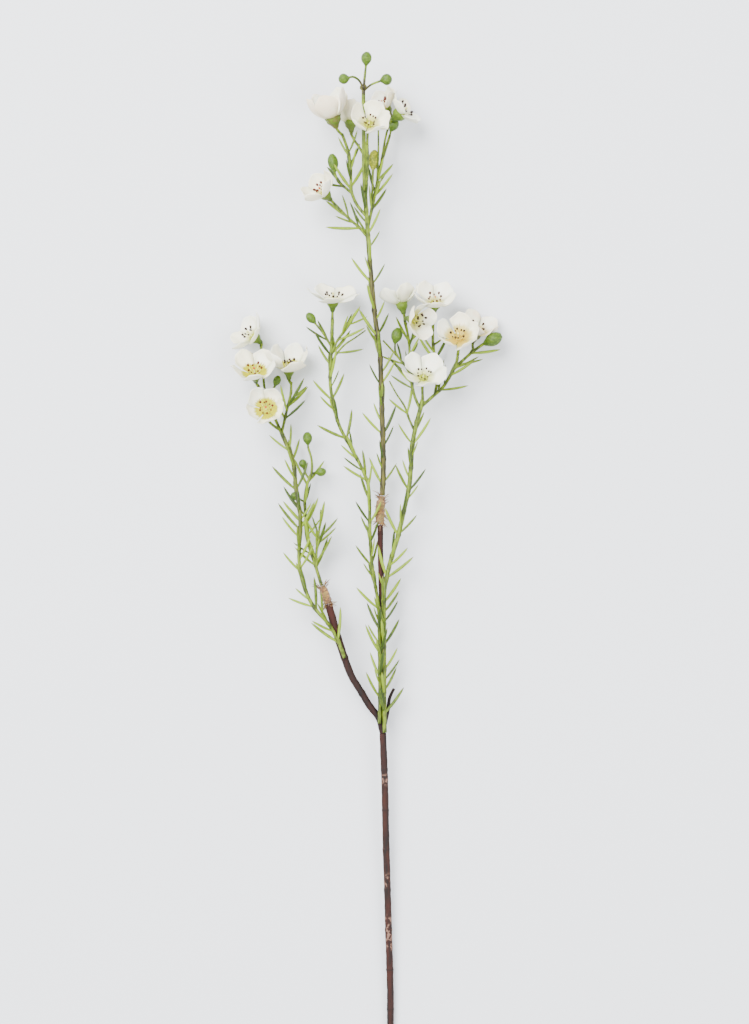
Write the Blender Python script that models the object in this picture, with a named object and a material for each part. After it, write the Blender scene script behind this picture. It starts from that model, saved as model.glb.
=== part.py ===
"""Waxflower stem: a woody stem with green sprays taped on, cup-shaped blooms and buds.

It lies on a surface. +Y runs from the cut end to the top bud, +X to the right, +Z away from
the surface. Tables are in millimetres from a point on the stem; MIDDLE moves them to the part's
own origin, the middle of its outline on the surface.
"""
import math
import random
from collections import namedtuple

import bmesh
import bpy
import numpy as np
from mathutils import Matrix, Vector

MM = 0.001
MIDDLE = Vector((2.2, 5.0, 0.2))
GAP = 0.3

LEAF_LENGTH = 20.0
LEAF_RADIUS = 0.8
LEAF_ANGLE = 40.0
LEAF_SIDES = 3
TWIG_SIDES = 5
STEM_SIDES = 8
BUD_SIDES = 6
CALYX_SIDES = 7

PETALS = 5
PETAL_THICKNESS = 0.7
PETAL_FOOT = 2.6
PETAL_SHARE = 0.62
PETAL_ROWS, PETAL_COLUMNS = 3, 2
DISC_RADIUS, DISC_HEIGHT = 3.4, 0.9
THROAT_RADIUS, THROAT_HEIGHT = 2.4, 1.2
STAMENS = 5
COLLAR_SIDES = 9
STAMEN_LENGTH = 6.2
CALYX_HEIGHT = 6.5

# A twig's points, its radius at both ends, and where its leaf pairs sit along it
Twig = namedtuple("Twig", "points start end first last pitch turn")
# A bloom's rim is the middle of its calyx mouth; mouth and curl say how its petals open
Bloom = namedtuple("Bloom", "name spray rim facing petal mouth curl roll calyx")
Bud = namedtuple("Bud", "spray foot tip radius")


def twig(points, start, end, first=0.0, last=-1.0, pitch=15.0, turn=0.0):
    return Twig(points, start, end, first, last, pitch, turn)


MAIN_STEM = [
    twig([(18, -330, 2.5), (17.9, -283, 4.4), (16.9, -249, 5.9), (15.9, -214, 7.4), (14.9, -179, 8.9),
          (14.2, -145, 10.3), (12.9, -113, 11.7)], 2.35, 2.35),
    twig([(13.1, -118, 11.5), (12.2, -100, 12.0), (12.4, -70, 12.8), (12.6, -44, 13.6), (11.8, -10, 15.0),
          (11.3, 10, 15.8), (11.2, 26.6, 16.6)], 2.1, 1.85),
    twig([(12.9, -113, 11.7), (10.4, -103, 11.9), (4.3, -94.7, 12.3), (-2.3, -84, 12.8), (-7.7, -75, 13.3),
          (-13, -61.3, 14.0), (-17.7, -46.7, 14.7), (-23.4, -26.4, 15.5)], 2.2, 2.6),
    twig([(13.2, -110, 11.4), (16.2, -98, 10.4), (17.6, -89, 9.8), (20.4, -83, 9.2)], 1.6, 0.9),
]
COLLARS = {
    "upper_collar": [(11.2, 27.0, 16.7), (11.2, 36.5, 17.2), (12.4, 46.0, 17.7)],
    "left_collar": [(-23.6, -26.0, 15.5), (-25.6, -20.2, 15.8), (-27.9, -14.2, 16.0)],
}
COLLAR_RADIUS = {"upper_collar": 3.1, "left_collar": 3.0}

SPRAYS = {
    "top_spray": [
        twig([(12.45, 46.4, 17.8), (13.3, 64.7, 18.6), (13, 82, 19.5), (12.3, 102.7, 20.6), (11.7, 122.7, 21.7),
              (10.7, 143.3, 22.8), (8.1, 162, 23.8), (6.1, 181.3, 24.7), (4.7, 197, 25.5), (3.3, 213, 26.2),
              (2.6, 225, 26.8), (1.9, 234.7, 27.3), (1, 248.7, 27.9), (0.3, 266, 28.6), (0.2, 285, 29.2),
              (0.1, 301, 29.8), (0, 318, 30.2)], 1.9, 1.3, 8, 205, 16.5, 0),
        twig([(0.9, 248, 28.2), (2.2, 257, 31.4), (2.6, 268, 34.2), (2.4, 278, 36.8)], 1.2, 1.2),
        twig([(2.6, 218, 26.5), (-2.5, 224, 26.6), (-7.9, 228.7, 27.0), (-14.5, 235, 27.6)], 1.0, 0.9, 9, 18, 9, 10),
        twig([(1.6, 232, 27.1), (-5, 240.7, 25.5), (-7.9, 248.3, 24.6), (-8.5, 258, 23.8), (-8.6, 266, 23.6),
              (-10.4, 276, 24.0), (-14.0, 286, 25.5)], 1.1, 1.0, 22, 44, 11, 30),
        twig([(-7.6, 247, 24.7), (-12.5, 251.5, 23.0), (-17.0, 255.5, 21.6), (-19.0, 261, 20.4)], 0.9, 0.8, 8, 10, 9, 0),
        twig([(2.6, 222, 26.6), (4.3, 231, 25.2), (6.3, 240, 23.6), (9, 254, 21.4), (11.0, 264.7, 19.6),
              (14.6, 277, 17.6), (17.6, 287, 16.2)], 1.1, 0.9, 16, 44, 9.5, 60),
        twig([(9.0, 254, 21.4), (9.4, 262, 24.0), (9.9, 276, 26.0), (9.9, 289, 26.4)], 0.8, 0.6),
        twig([(0.4, 272, 28.8), (-3.6, 279, 25.0), (-6.6, 284, 20.6), (-8.2, 287.5, 17.2)], 0.9, 0.9),
        twig([(11.4, 266, 19.4), (13.0, 276, 14.6), (15.2, 288, 11.4), (17.8, 297, 10.6)], 0.8, 0.8),
    ],
    "right_spray": [
        twig([(14.2, -112, 15.4), (13.9, -99, 15.7), (13.8, -70, 16.3), (13.7, -44, 17.1), (13.6, -30, 17.6),
              (13.8, -18, 18.0), (15.4, -8.7, 18.3), (17.4, 0, 18.6), (20, 9.3, 18.9), (23, 18.7, 19.2),
              (25.6, 30, 19.6), (28.3, 42, 20.0), (30.6, 53.3, 20.4), (31.6, 64.7, 20.7), (32.8, 82, 21.2),
              (34.8, 92, 21.5), (37.5, 102.7, 21.8), (39.4, 110, 21.9)], 1.5, 1.6, 12, 208, 15.2, 0),
        twig([(38.4, 105.5, 21.8), (45, 111.3, 21.0), (53.5, 119.3, 20.2), (61, 131.3, 19.4), (66.4, 136.6, 18.6),
              (73, 142.4, 19.0), (80.0, 147.4, 19.6)], 1.2, 1.0, 16, 52, 11.5, 0),
        twig([(59.5, 128.8, 19.5), (61.7, 134, 20.4), (62.8, 140, 21.8)], 1.0, 1.0),
        twig([(70.5, 140.2, 18.4), (73.4, 144.6, 12.4)], 0.9, 0.9),
        twig([(38.0, 103.5, 21.8), (34.6, 111, 21.0), (32.6, 118, 20.0), (29.6, 130, 18.6), (23.7, 138, 17.0),
              (18.5, 144, 16.0), (13.0, 150, 15.2)], 1.1, 0.6, 14, 34, 10, 0),
        twig([(28.6, 131.5, 18.4), (30.6, 142, 16.4), (30.0, 152, 15.4), (28.0, 160.5, 15.6)], 0.9, 0.9, 8, 20, 10, 80),
        twig([(30.4, 148, 15.8), (29.4, 155, 19.0), (28.2, 160.5, 23.2)], 0.8, 0.8),
        twig([(47.5, 113.6, 20.8), (49.2, 124, 17.2), (48.0, 136, 15.2), (46.4, 148.7, 14.9), (46.2, 156, 16.4)],
             1.0, 1.0, 24, 30, 10, 0),
        twig([(46.6, 147, 14.9), (50.5, 149.5, 14.0), (54.6, 152.8, 13.4)], 0.8, 0.6),
        twig([(34.2, 89, 21.4), (30.5, 97, 20.8), (27.6, 105.3, 20.4), (22.0, 114.0, 20.0), (17.2, 122.7, 19.6)],
             0.9, 0.5, 12, 16, 10, 0),
    ],
    "centre_spray": [
        twig([(10.7, -106, 16.0), (10.8, -96, 15.9), (10.7, -70, 16.3), (10.5, -44, 17.1), (10.1, -30, 17.6),
              (8.6, -18, 18.2), (6.9, -8.7, 18.6), (5.6, 0, 18.9), (4.7, 12, 19.4), (4.2, 26.7, 19.9),
              (4.0, 40, 20.4), (2.9, 54, 21.0), (-1.6, 65.5, 21.4), (-8.7, 78.7, 21.9), (-16.3, 93.3, 22.4),
              (-20, 107.3, 22.8), (-22, 119, 23.0), (-22, 132.7, 23.2), (-21.3, 146, 23.2), (-20.9, 156, 22.8),
              (-20.7, 163.5, 22.2)], 1.15, 1.2, 18, 262, 14.6, 20),
        twig([(-21.8, 146, 23.2), (-26.3, 153.6, 22.6), (-29.7, 158, 22.2), (-32.0, 160.8, 22.0)], 0.8, 0.7, 5, 6, 5, 0),
        twig([(-21.2, 141, 23.2), (-17.2, 149.5, 24.2), (-11.7, 157.3, 24.6), (-7.7, 162.7, 24.6),
              (-4.5, 168.5, 24.4)], 0.9, 0.5, 10, 24, 7.5, 0),
        twig([(-22, 133.5, 23.2), (-17.6, 141, 22.0), (-12.6, 146.7, 20.8), (-5.5, 151.5, 20.0), (1.4, 156.5, 19.4)],
             0.8, 0.5, 9, 12, 8, 0),
    ],
    "left_spray": [
        twig([(-12.6, -62, 17.95), (-16.6, -51.5, 18.9), (-23.0, -40, 19.4), (-33.4, -27.6, 18.8), (-40.4, -12, 18.2),
              (-43, 3.3, 18.2), (-42.8, 14.7, 18.6), (-42.4, 34, 19.0), (-43.9, 44, 19.2), (-45.3, 54, 19.2),
              (-46.2, 64, 19.0), (-48.2, 73.3, 18.6), (-51.7, 81.3, 18.2), (-55.4, 90, 17.8)], 1.2, 1.5, 12, 150, 13.6, 0),
        twig([(-54.6, 88.5, 17.9), (-52.4, 98, 16.6), (-50.4, 107, 15.0), (-48.6, 115, 13.4), (-48.4, 121.5, 12.6)],
             1.0, 0.9, 10, 26, 9, 0),
        twig([(-55.0, 89.5, 17.8), (-59.6, 92.6, 18.6), (-62.8, 95.2, 19.6)], 1.0, 0.9),
        twig([(-54.6, 87.5, 17.9), (-58.4, 96, 12.6), (-63.5, 106, 9.8), (-67.8, 114, 10.6), (-70.4, 119.6, 12.6)],
             1.1, 1.0),
        twig([(-66.0, 110.8, 10.0), (-62.0, 115.4, 10.6), (-59.6, 119.4, 11.4)], 0.8, 0.7),
        twig([(-63.0, 105.5, 9.9), (-66.4, 118, 6.6), (-67.6, 130, 5.8), (-67.8, 140, 7.6), (-68.8, 146.4, 10.4)],
             0.9, 0.9),
    ],
    "left_bud_spray": [
        twig([(-28.0, -13.8, 16.1), (-31.2, -3.3, 16.0), (-35.3, 9.0, 14.8), (-38.0, 18.7, 13.8), (-38.9, 34, 13.2),
              (-39.3, 44, 13.0), (-37.7, 54, 13.0), (-34.9, 61, 13.2), (-34.7, 70, 13.8), (-37.0, 78.5, 14.6)],
             1.2, 0.8, 14, 76, 14, 0),
        twig([(-31.6, -2.5, 16.0), (-31.4, 8, 17.4), (-30.2, 18, 18.2), (-29.0, 28, 18.6), (-28.6, 37, 18.8)],
             1.0, 0.5, 6, 30, 7.5, 0),
        twig([(-34.9, 61, 13.2), (-32.6, 61.5, 13.6)], 0.7, 0.7),
        twig([(-36.4, 57.5, 13.1), (-39.0, 61.5, 12.6), (-40.0, 64.5, 12.4)], 0.7, 0.7),
        twig([(-39.2, 42, 13.0), (-41.8, 43.4, 12.4), (-43.0, 44.2, 12.2)], 0.7, 0.7),
    ],
}

BUDS = [
    Bud("top_spray", (1.7, 331.6, 31.6), (2.4, 340.0, 32.0), 3.4),
    Bud("top_spray", (-9.6, 322.6, 33.2), (-16.2, 321.4, 34.0), 3.4),
    Bud("top_spray", (11.6, 321.0, 32.6), (18.6, 322.4, 33.8), 3.7),
    Bud("top_spray", (-19.2, 262.4, 20.2), (-21.3, 273.8, 19.6), 3.4),
    Bud("top_spray", (18.2, 290.0, 16.0), (22.2, 297.4, 15.8), 3.0),
    Bud("top_spray", (6.4, 263.6, 23.6), (7.4, 276.0, 21.2), 3.6),
    Bud("right_spray", (80.8, 147.6, 19.8), (91.8, 153.2, 20.6), 4.3),
    Bud("right_spray", (21.0, 148.6, 15.2), (23.4, 158.2, 14.6), 3.7),
    Bud("centre_spray", (-32.4, 161.4, 22.0), (-37.4, 167.6, 21.8), 2.9),
    Bud("left_spray", (-59.4, 120.0, 11.5), (-56.8, 126.4, 12.0), 2.5),
    Bud("left_bud_spray", (-37.1, 80.6, 14.8), (-37.6, 88.6, 15.4), 3.1),
    Bud("left_bud_spray", (-31.9, 61.7, 13.7), (-25.2, 62.6, 14.2), 2.8),
    Bud("left_bud_spray", (-40.2, 65.0, 12.4), (-41.2, 70.4, 12.0), 2.7),
    Bud("left_bud_spray", (-43.5, 44.6, 12.0), (-48.4, 47.2, 11.0), 3.0),
]
BUD_STALKS = {
    "top_spray": [
        twig([(0.0, 315, 30.2), (1.0, 325, 30.9), (1.8, 332.6, 31.6)], 1.0, 0.8),
        twig([(0.0, 316, 30.2), (-3.2, 321.6, 31.6), (-7.2, 323.6, 32.8), (-10.6, 322.5, 33.3)], 0.8, 0.8),
        twig([(0.0, 314.5, 30.2), (4.6, 318.2, 31.2), (12.6, 321.2, 32.7)], 0.8, 0.8),
        twig([(5.6, 238, 24.0), (5.9, 250, 24.6), (6.4, 264.4, 23.6)], 0.8, 0.8),
    ],
    "right_spray": [
        twig([(23.0, 138.8, 16.8), (21.2, 143.0, 15.8), (21.1, 149.4, 15.2)], 0.7, 0.7),
    ],
}

BLOOMS = [
    Bloom("bloom_t1", "top_spray", (-20.0, 296.0, 31.0), (-0.32, 0.93, 0.20), 22.0, 30, 84, 10, 5.0),
    Bloom("bloom_t2", "top_spray", (-8.6, 295.4, 14.4), (-0.08, 0.95, -0.16), 16.5, 24, 70, 30, 3.8),
    Bloom("bloom_t3", "top_spray", (3.6, 290.2, 43.6), (0.10, 0.50, 0.86), 16.4, 42, 80, 18, 4.0),
    Bloom("bloom_t4", "top_spray", (15.0, 305.4, 12.4), (-0.46, 0.70, 0.30), 13.8, 34, 70, 52, 3.6),
    Bloom("bloom_t5", "top_spray", (24.2, 300.6, 21.0), (0.76, 0.62, 0.20), 13.6, 52, 50, 0, 4.6),
    Bloom("bloom_t6", "top_spray", (-25.6, 246.2, 31.0), (-0.62, 0.60, 0.50), 15.4, 36, 80, 36, 3.8),
    Bloom("bloom_c1", "centre_spray", (-20.4, 175.2, 23.0), (0.04, 0.93, 0.30), 18.0, 60, 44, 12, 3.8),
    Bloom("bloom_r1", "right_spray", (25.6, 174.0, 15.2), (-0.20, 0.95, -0.12), 16.0, 44, 62, 40, 3.7),
    Bloom("bloom_r2", "right_spray", (47.4, 173.8, 22.0), (0.06, 0.78, 0.60), 16.4, 49, 62, 22, 3.8),
    Bloom("bloom_r3", "right_spray", (33.2, 162.8, 35.0), (0.78, -0.16, 0.60), 14.8, 40, 72, 8, 3.6),
    Bloom("bloom_r4", "right_spray", (63.0, 150.0, 30.0), (-0.06, 0.58, 0.81), 17.2, 44, 76, 30, 3.8),
    Bloom("bloom_r5", "right_spray", (75.0, 155.0, 9.8), (0.22, 0.76, 0.42), 17.0, 46, 66, 10, 4.2),
    Bloom("bloom_r6", "right_spray", (39.6, 123.8, 29.0), (0.05, 0.64, 0.76), 17.6, 50, 62, 26, 4.0),
    Bloom("bloom_l1", "left_spray", (-73.4, 152.4, 11.2), (-0.66, 0.52, 0.22), 16.0, 46, 62, 24, 3.8),
    Bloom("bloom_l2", "left_spray", (-72.4, 126.8, 19.4), (-0.08, 0.72, 0.66), 18.0, 48, 66, 14, 4.0),
    Bloom("bloom_l3", "left_spray", (-50.0, 130.4, 11.4), (0.0, 0.92, 0.24), 20.0, 27, 78, 34, 3.6),
    Bloom("bloom_l4", "left_spray", (-64.4, 103.0, 27.4), (-0.06, 0.30, 0.94), 16.2, 42, 78, 6, 3.7),
]

COLOURS = {
    "bark": ((0.16, 0.07, 0.045, 1), 0.75),
    "tape": ((0.50, 0.32, 0.25, 1), 0.85),
    "green": ((0.27, 0.40, 0.08, 1), 0.55),
    "petal": ((0.88, 0.86, 0.80, 1), 0.45),
    "throat": ((0.62, 0.60, 0.12, 1), 0.5),
}


def place(point):
    """A table's millimetres as a point of the part, in metres."""
    return (Vector(point) - MIDDLE) * MM


def make_material(name):
    colour, roughness = COLOURS[name]
    material = bpy.data.materials.new(name)
    material.use_nodes = True
    shader = material.node_tree.nodes["Principled BSDF"]
    shader.inputs["Base Color"].default_value = colour
    shader.inputs["Roughness"].default_value = roughness
    shader.inputs["Metallic"].default_value = 0.0
    return material


def make_object(name, verts, faces):
    """A smooth-shaded mesh object from points in the tables' millimetres."""
    mesh = bpy.data.meshes.new(name)
    mesh.from_pydata([place(v) for v in verts], [], faces)
    mesh.shade_smooth()
    item = bpy.data.objects.new(name, mesh)
    bpy.context.scene.collection.objects.link(item)
    return item


def upright(way):
    """The axis that a line's rings are turned by, so that they don't twist along it."""
    return Vector((0, 0, 1)) if abs(way.normalized().z) < 0.8 else Vector((0.3, 1, 0))


def across(tangent, up=None):
    """Two directions square to a tangent: one in the plane of the surface, one away from it."""
    side = (up or upright(tangent)).cross(tangent).normalized()
    return side, tangent.cross(side).normalized()


def ring(centre, tangent, radius, sides, phase=0.0, up=None):
    side, up = across(tangent, up)
    angles = [phase + 2 * math.pi * k / sides for k in range(sides)]
    return [centre + (side * math.cos(a) + up * math.sin(a)) * radius for a in angles]


def skin(rings, tip=None):
    """Faces over rings of like count, capped flat at the foot and at the end or drawn to a tip."""
    sides = len(rings[0])
    verts = [v for one in rings for v in one]
    faces = [tuple(reversed(range(sides)))]
    for row in range(len(rings) - 1):
        low, high = row * sides, (row + 1) * sides
        for k in range(sides):
            n = (k + 1) % sides
            faces.append((low + k, low + n, high + n, high + k))
    last = (len(rings) - 1) * sides
    if tip is None:
        faces.append(tuple(range(last, last + sides)))
    else:
        verts.append(tip)
        faces += [(last + k, last + (k + 1) % sides, len(verts) - 1) for k in range(sides)]
    return verts, faces


def tangents(points):
    found = []
    for i in range(len(points)):
        ahead, behind = points[min(i + 1, len(points) - 1)], points[max(i - 1, 0)]
        found.append((ahead - behind).normalized())
    return found


def twig_skin(one, sides):
    points = [Vector(p) for p in one.points]
    steps = len(points) - 1
    rings = []
    for i, (point, tangent) in enumerate(zip(points, tangents(points))):
        radius = one.start + (one.end - one.start) * i / steps
        rings.append(ring(point, tangent, radius, sides, 0.0, upright(points[-1] - points[0])))
    return skin(rings)


def along(one, distance):
    """The point and direction at a distance along a twig."""
    points = [Vector(p) for p in one.points]
    for a, b in zip(points, points[1:]):
        length = (b - a).length
        if distance <= length:
            return a.lerp(b, distance / length), (b - a).normalized()
        distance -= length
    return None


def leaf_line(root, direction, stem_way, length):
    """A needle's middle line, curving a little towards the way its stem grows."""
    return [root + direction * length * s + stem_way * length * 0.16 * s * s for s in (0.0, 0.12, 0.45, 0.8, 1.0)]


def twig_bars():
    """Every twig, bud and bloom as bars with a radius, to keep the leaves clear of them."""
    bars = []
    stems = {"main_stem": MAIN_STEM}
    stems.update(SPRAYS)
    for owner, twigs in stems.items():
        for one in twigs + BUD_STALKS.get(owner, []):
            points = [Vector(p) for p in one.points]
            radius = max(one.start, one.end)
            bars += [(owner, a, b, radius) for a, b in zip(points, points[1:])]
    for points in COLLARS.values():
        bars.append(("collar", Vector(points[0]), Vector(points[-1]), 3.6))
    for bud in BUDS:
        bars.append((bud.spray + "_bud", Vector(bud.foot), Vector(bud.tip), bud.radius))
    for bloom in BLOOMS:
        rim, facing = Vector(bloom.rim), Vector(bloom.facing).normalized()
        reach = bloom.petal * (0.42 + 0.50 * math.sin(math.radians(bloom.mouth)))
        bars.append(("petals", rim + facing * 3, rim + facing * bloom.petal * 0.6, reach + 1.0))
        bars.append(("petals", rim, rim + facing * 2, 5.0))
    return bars


def clearance(line, bars, owner):
    """The least distance from a leaf's line to what it must not cross."""
    probes = np.array([line[0].lerp(line[-1], s) for s in np.linspace(0.2, 1.0, 9)])
    others = [bar for bar in bars if bar[0] != owner]
    a = np.array([bar[1] for bar in others])
    b = np.array([bar[2] for bar in others])
    radius = np.array([bar[3] for bar in others])
    run = b - a
    share = np.einsum("pki,ki->pk", probes[:, None] - a, run) / np.maximum((run * run).sum(1), 1e-9)
    nearest = a + run * np.clip(share, 0, 1)[..., None]
    apart = np.linalg.norm(probes[:, None] - nearest, axis=2) - radius
    return float(apart.min()), float(probes[:, 2].min())


def grow_leaves():
    """Opposite pairs, each pair square to the last. A leaf that would cross another piece turns aside."""
    draw = random.Random(7)
    bars = twig_bars()
    grown = {}
    for spray, twigs in SPRAYS.items():
        lines = []
        for one in twigs:
            distance, pair = one.first, 0
            while distance <= one.last:
                for half in (0, 180):
                    turn = one.turn + half + 90 * (pair % 2) + draw.uniform(-16, 16)
                    angle = math.radians(LEAF_ANGLE + draw.uniform(-8, 8))
                    length = LEAF_LENGTH * draw.uniform(0.8, 1.15)
                    found = along(one, distance + draw.uniform(-1.5, 1.5))
                    if found is None:
                        continue
                    root, way = found
                    side, up = across(way)
                    for twist in (0, 25, -25, 50, -50, 75, -75):
                        a = math.radians(turn + twist)
                        out = side * math.cos(a) + up * math.sin(a)
                        line = leaf_line(root, way * math.cos(angle) + out * math.sin(angle), way, length)
                        apart, low = clearance(line, bars, spray)
                        if apart > LEAF_RADIUS + 0.6 and low > LEAF_RADIUS + 0.6:
                            lines.append(line)
                            bars.append((spray, line[1], line[-1], LEAF_RADIUS))
                            break
                distance += one.pitch
                pair += 1
        grown[spray] = lines
    return grown


def leaf_skin(line):
    way = tangents(line)
    up = upright(line[4] - line[0])
    rings = [ring(line[i], way[i], LEAF_RADIUS * r, LEAF_SIDES, 0.0, up) for i, r in ((0, 0.8), (2, 1.0))]
    return skin(rings, line[4])


def bud_skin(bud):
    """An egg-shaped bud with shallow ribs, on a short neck."""
    foot, tip = Vector(bud.foot), Vector(bud.tip)
    way, length = (tip - foot).normalized(), (tip - foot).length
    profile = ((-0.06, 0.24), (0.24, 0.8), (0.55, 1.03), (0.84, 0.78), (1.0, 0.34))
    return skin([ring(foot + way * length * s, way, bud.radius * r, BUD_SIDES) for s, r in profile])


def calyx_skin(bloom):
    """The green cup under a bloom, from its stalk to just under the petals' disc."""
    rim, way = Vector(bloom.rim), Vector(bloom.facing).normalized()
    profile = ((1.0, 1.05 / bloom.calyx), (0.6, 0.55), (0.2, 0.96), (0.0, 1.0))
    rings = []
    for drop, share in profile:
        centre = rim - way * (GAP + CALYX_HEIGHT * drop)
        rings.append(ring(centre, way, bloom.calyx * share, CALYX_SIDES))
    return skin(rings)


def calyx_foot(bloom):
    return Vector(bloom.rim) - Vector(bloom.facing).normalized() * (GAP + CALYX_HEIGHT * 0.96)


def twig_ends(spray):
    return [Vector(one.points[-1]) for one in SPRAYS[spray] + BUD_STALKS.get(spray, [])]


def neck_twig(bud):
    """The last of a bud's stalk, from the nearest twig end of its spray into the bud."""
    foot, tip = Vector(bud.foot), Vector(bud.tip)
    start = min(twig_ends(bud.spray), key=lambda end: (end - foot).length)
    back = (start - foot).normalized() * 0.8 if (start - foot).length > 0.5 else (foot - tip).normalized()
    return twig([start + back * 0.5, foot.lerp(tip, 0.08), foot.lerp(tip, 0.35)], 0.7, 0.8)


def stalk_twig(bloom):
    """The last of a bloom's stalk, from the nearest twig end of its spray into the calyx."""
    foot, way = calyx_foot(bloom), Vector(bloom.facing).normalized()
    ends = twig_ends(bloom.spray)
    start = min(ends, key=lambda end: (end - foot).length)
    inside = foot + way * 1.2
    middle = start.lerp(foot, 0.5) - way * (foot - start).length * 0.12
    return twig([start, middle, foot, inside], 1.0, 1.05)


def bloom_matrix(bloom):
    """The bloom's own frame, +Z the way it faces, in the tables' millimetres."""
    way = Vector(bloom.facing).normalized()
    side, up = across(way)
    turn = Matrix((side, up, way)).transposed().to_4x4()
    return Matrix.Translation(Vector(bloom.rim)) @ turn @ Matrix.Rotation(math.radians(bloom.roll), 4, "Z")


def petal_point(bloom, u, v):
    """A petal's middle surface: u from its foot to its edge, v from side to side, and the way in."""
    first = math.radians(bloom.mouth + bloom.curl / 2)
    curl = math.radians(bloom.curl)
    s = u * (1 - 0.36 * v * v)
    now = first - curl * s
    radial = PETAL_FOOT + bloom.petal * (math.cos(now) - math.cos(first)) / curl
    rise = DISC_HEIGHT / 2 + bloom.petal * (math.sin(first) - math.sin(now)) / curl
    half = bloom.petal * 0.43 * (0.18 + 0.82 * math.sin(min(1.0, u / 0.66) * math.pi / 2))
    half = min(half, PETAL_SHARE * radial)
    inward = Vector((-math.cos(now), 0, math.sin(now)))
    lift = 0.18 * half * v * v + 0.10 * half * v * min(1.0, 2 * u)
    return Vector((radial, v * half, rise)) + inward * lift, inward


def petal_skin(bloom, turn):
    rows, columns = PETAL_ROWS, PETAL_COLUMNS
    inner, outer = [], []
    for i in range(rows + 1):
        for j in range(columns + 1):
            point, inward = petal_point(bloom, i / rows, 2 * j / columns - 1)
            inner.append(point + inward * PETAL_THICKNESS / 2)
            outer.append(point - inward * PETAL_THICKNESS / 2)
    verts = [Matrix.Rotation(turn, 3, "Z") @ v for v in inner + outer]
    shift, width = len(inner), columns + 1
    faces = []
    for i in range(rows):
        for j in range(columns):
            a, b, c, d = i * width + j, i * width + j + 1, (i + 1) * width + j + 1, (i + 1) * width + j
            faces += [(a, c, b), (a, d, c), (a + shift, b + shift, c + shift), (a + shift, c + shift, d + shift)]
    edge = [j for j in range(width)]
    edge += [i * width + columns for i in range(1, rows + 1)]
    edge += [rows * width + j for j in range(columns - 1, -1, -1)]
    edge += [i * width for i in range(rows - 1, 0, -1)]
    for a, b in zip(edge, edge[1:] + edge[:1]):
        faces += [(a, b, b + shift), (a, b + shift, a + shift)]
    return verts, faces


def stamen_skin(bloom, turn):
    """A filament leaning out from the throat's edge, with its thicker anther at the end."""
    lean = math.radians(bloom.mouth * 0.62)
    start = Vector((THROAT_RADIUS * 0.55, 0, DISC_HEIGHT + GAP + 0.62))
    line = []
    for s in (0.0, 0.9, 1.0):
        angle = lean * (1.1 - 0.5 * s)
        line.append(start + Vector((math.sin(angle), 0, math.cos(angle))) * STAMEN_LENGTH * s)
    way = tangents(line)
    rings = [ring(line[i], way[i], r, 3, 0.0, Vector((0, 1, 0))) for i, r in ((0, 0.5), (1, 0.8))]
    verts, faces = skin(rings, line[2])
    return [Matrix.Rotation(turn, 3, "Z") @ v for v in verts], faces


def drop_scraps(work):
    """Keeps the largest body of a joined mesh, and drops loose slivers."""
    left, bodies = set(work.faces), []
    while left:
        body, edge = set(), [left.pop()]
        while edge:
            face = edge.pop()
            body.add(face)
            near = {other for side in face.edges for other in side.link_faces if other in left}
            left -= near
            edge += near
        bodies.append(body)
    bodies.sort(key=len)
    scraps = [face for body in bodies[:-1] for face in body]
    bmesh.ops.delete(work, geom=scraps, context="FACES")


def union(name, base, others, solver="EXACT"):
    """Joins closed bodies that cross into one, and removes the ones that were added."""
    held = bpy.data.collections.new(name + "_parts")
    bpy.context.scene.collection.children.link(held)
    for item in others:
        bpy.context.scene.collection.objects.unlink(item)
        held.objects.link(item)
    cut = base.modifiers.new("join", "BOOLEAN")
    cut.operation, cut.solver, cut.operand_type, cut.collection = "UNION", solver, "COLLECTION", held
    bpy.context.view_layer.update()
    joined = bpy.data.meshes.new_from_object(base.evaluated_get(bpy.context.evaluated_depsgraph_get()))
    base.modifiers.clear()
    base.data = joined
    for item in list(held.objects):
        bpy.data.objects.remove(item)
    bpy.data.collections.remove(held)
    work = bmesh.new()
    work.from_mesh(joined)
    bmesh.ops.dissolve_limit(work, angle_limit=0.002, verts=work.verts[:], edges=work.edges[:])
    bmesh.ops.triangulate(work, faces=work.faces[:])
    bmesh.ops.dissolve_degenerate(work, edges=work.edges[:], dist=1e-6)
    drop_scraps(work)
    work.to_mesh(joined)
    work.free()
    joined.name = name
    joined.shade_smooth()
    return base


def finish(item, material):
    item.data.materials.clear()
    item.data.materials.append(material)


def build_main_stem(materials):
    bodies = [make_object(f"main_stem_{i}", *twig_skin(one, STEM_SIDES)) for i, one in enumerate(MAIN_STEM)]
    bodies[0].name = "main_stem"
    finish(union("main_stem", bodies[0], bodies[1:]), materials["bark"])


def build_collar(name, materials):
    """Tape wound round a joint: a stepped barrel with frayed, uneven ends."""
    points = [Vector(p) for p in COLLARS[name]]
    draw = random.Random(len(name))
    radius, rings = COLLAR_RADIUS[name], []
    for s, share in ((0.0, 0.82), (0.12, 1.0), (0.38, 0.95), (0.5, 1.06), (0.66, 0.96), (0.88, 1.02), (1.0, 0.8)):
        centre = points[0].lerp(points[1], s * 2) if s < 0.5 else points[1].lerp(points[2], s * 2 - 1)
        way = (points[2] - points[0]).normalized()
        circle = ring(centre, way, radius * share, COLLAR_SIDES)
        if 0.0 < s < 1.0:
            circle = [centre + (v - centre) * draw.uniform(0.93, 1.08) for v in circle]
        rings.append(circle)
    finish(make_object(name, *skin(rings)), materials["tape"])


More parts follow.
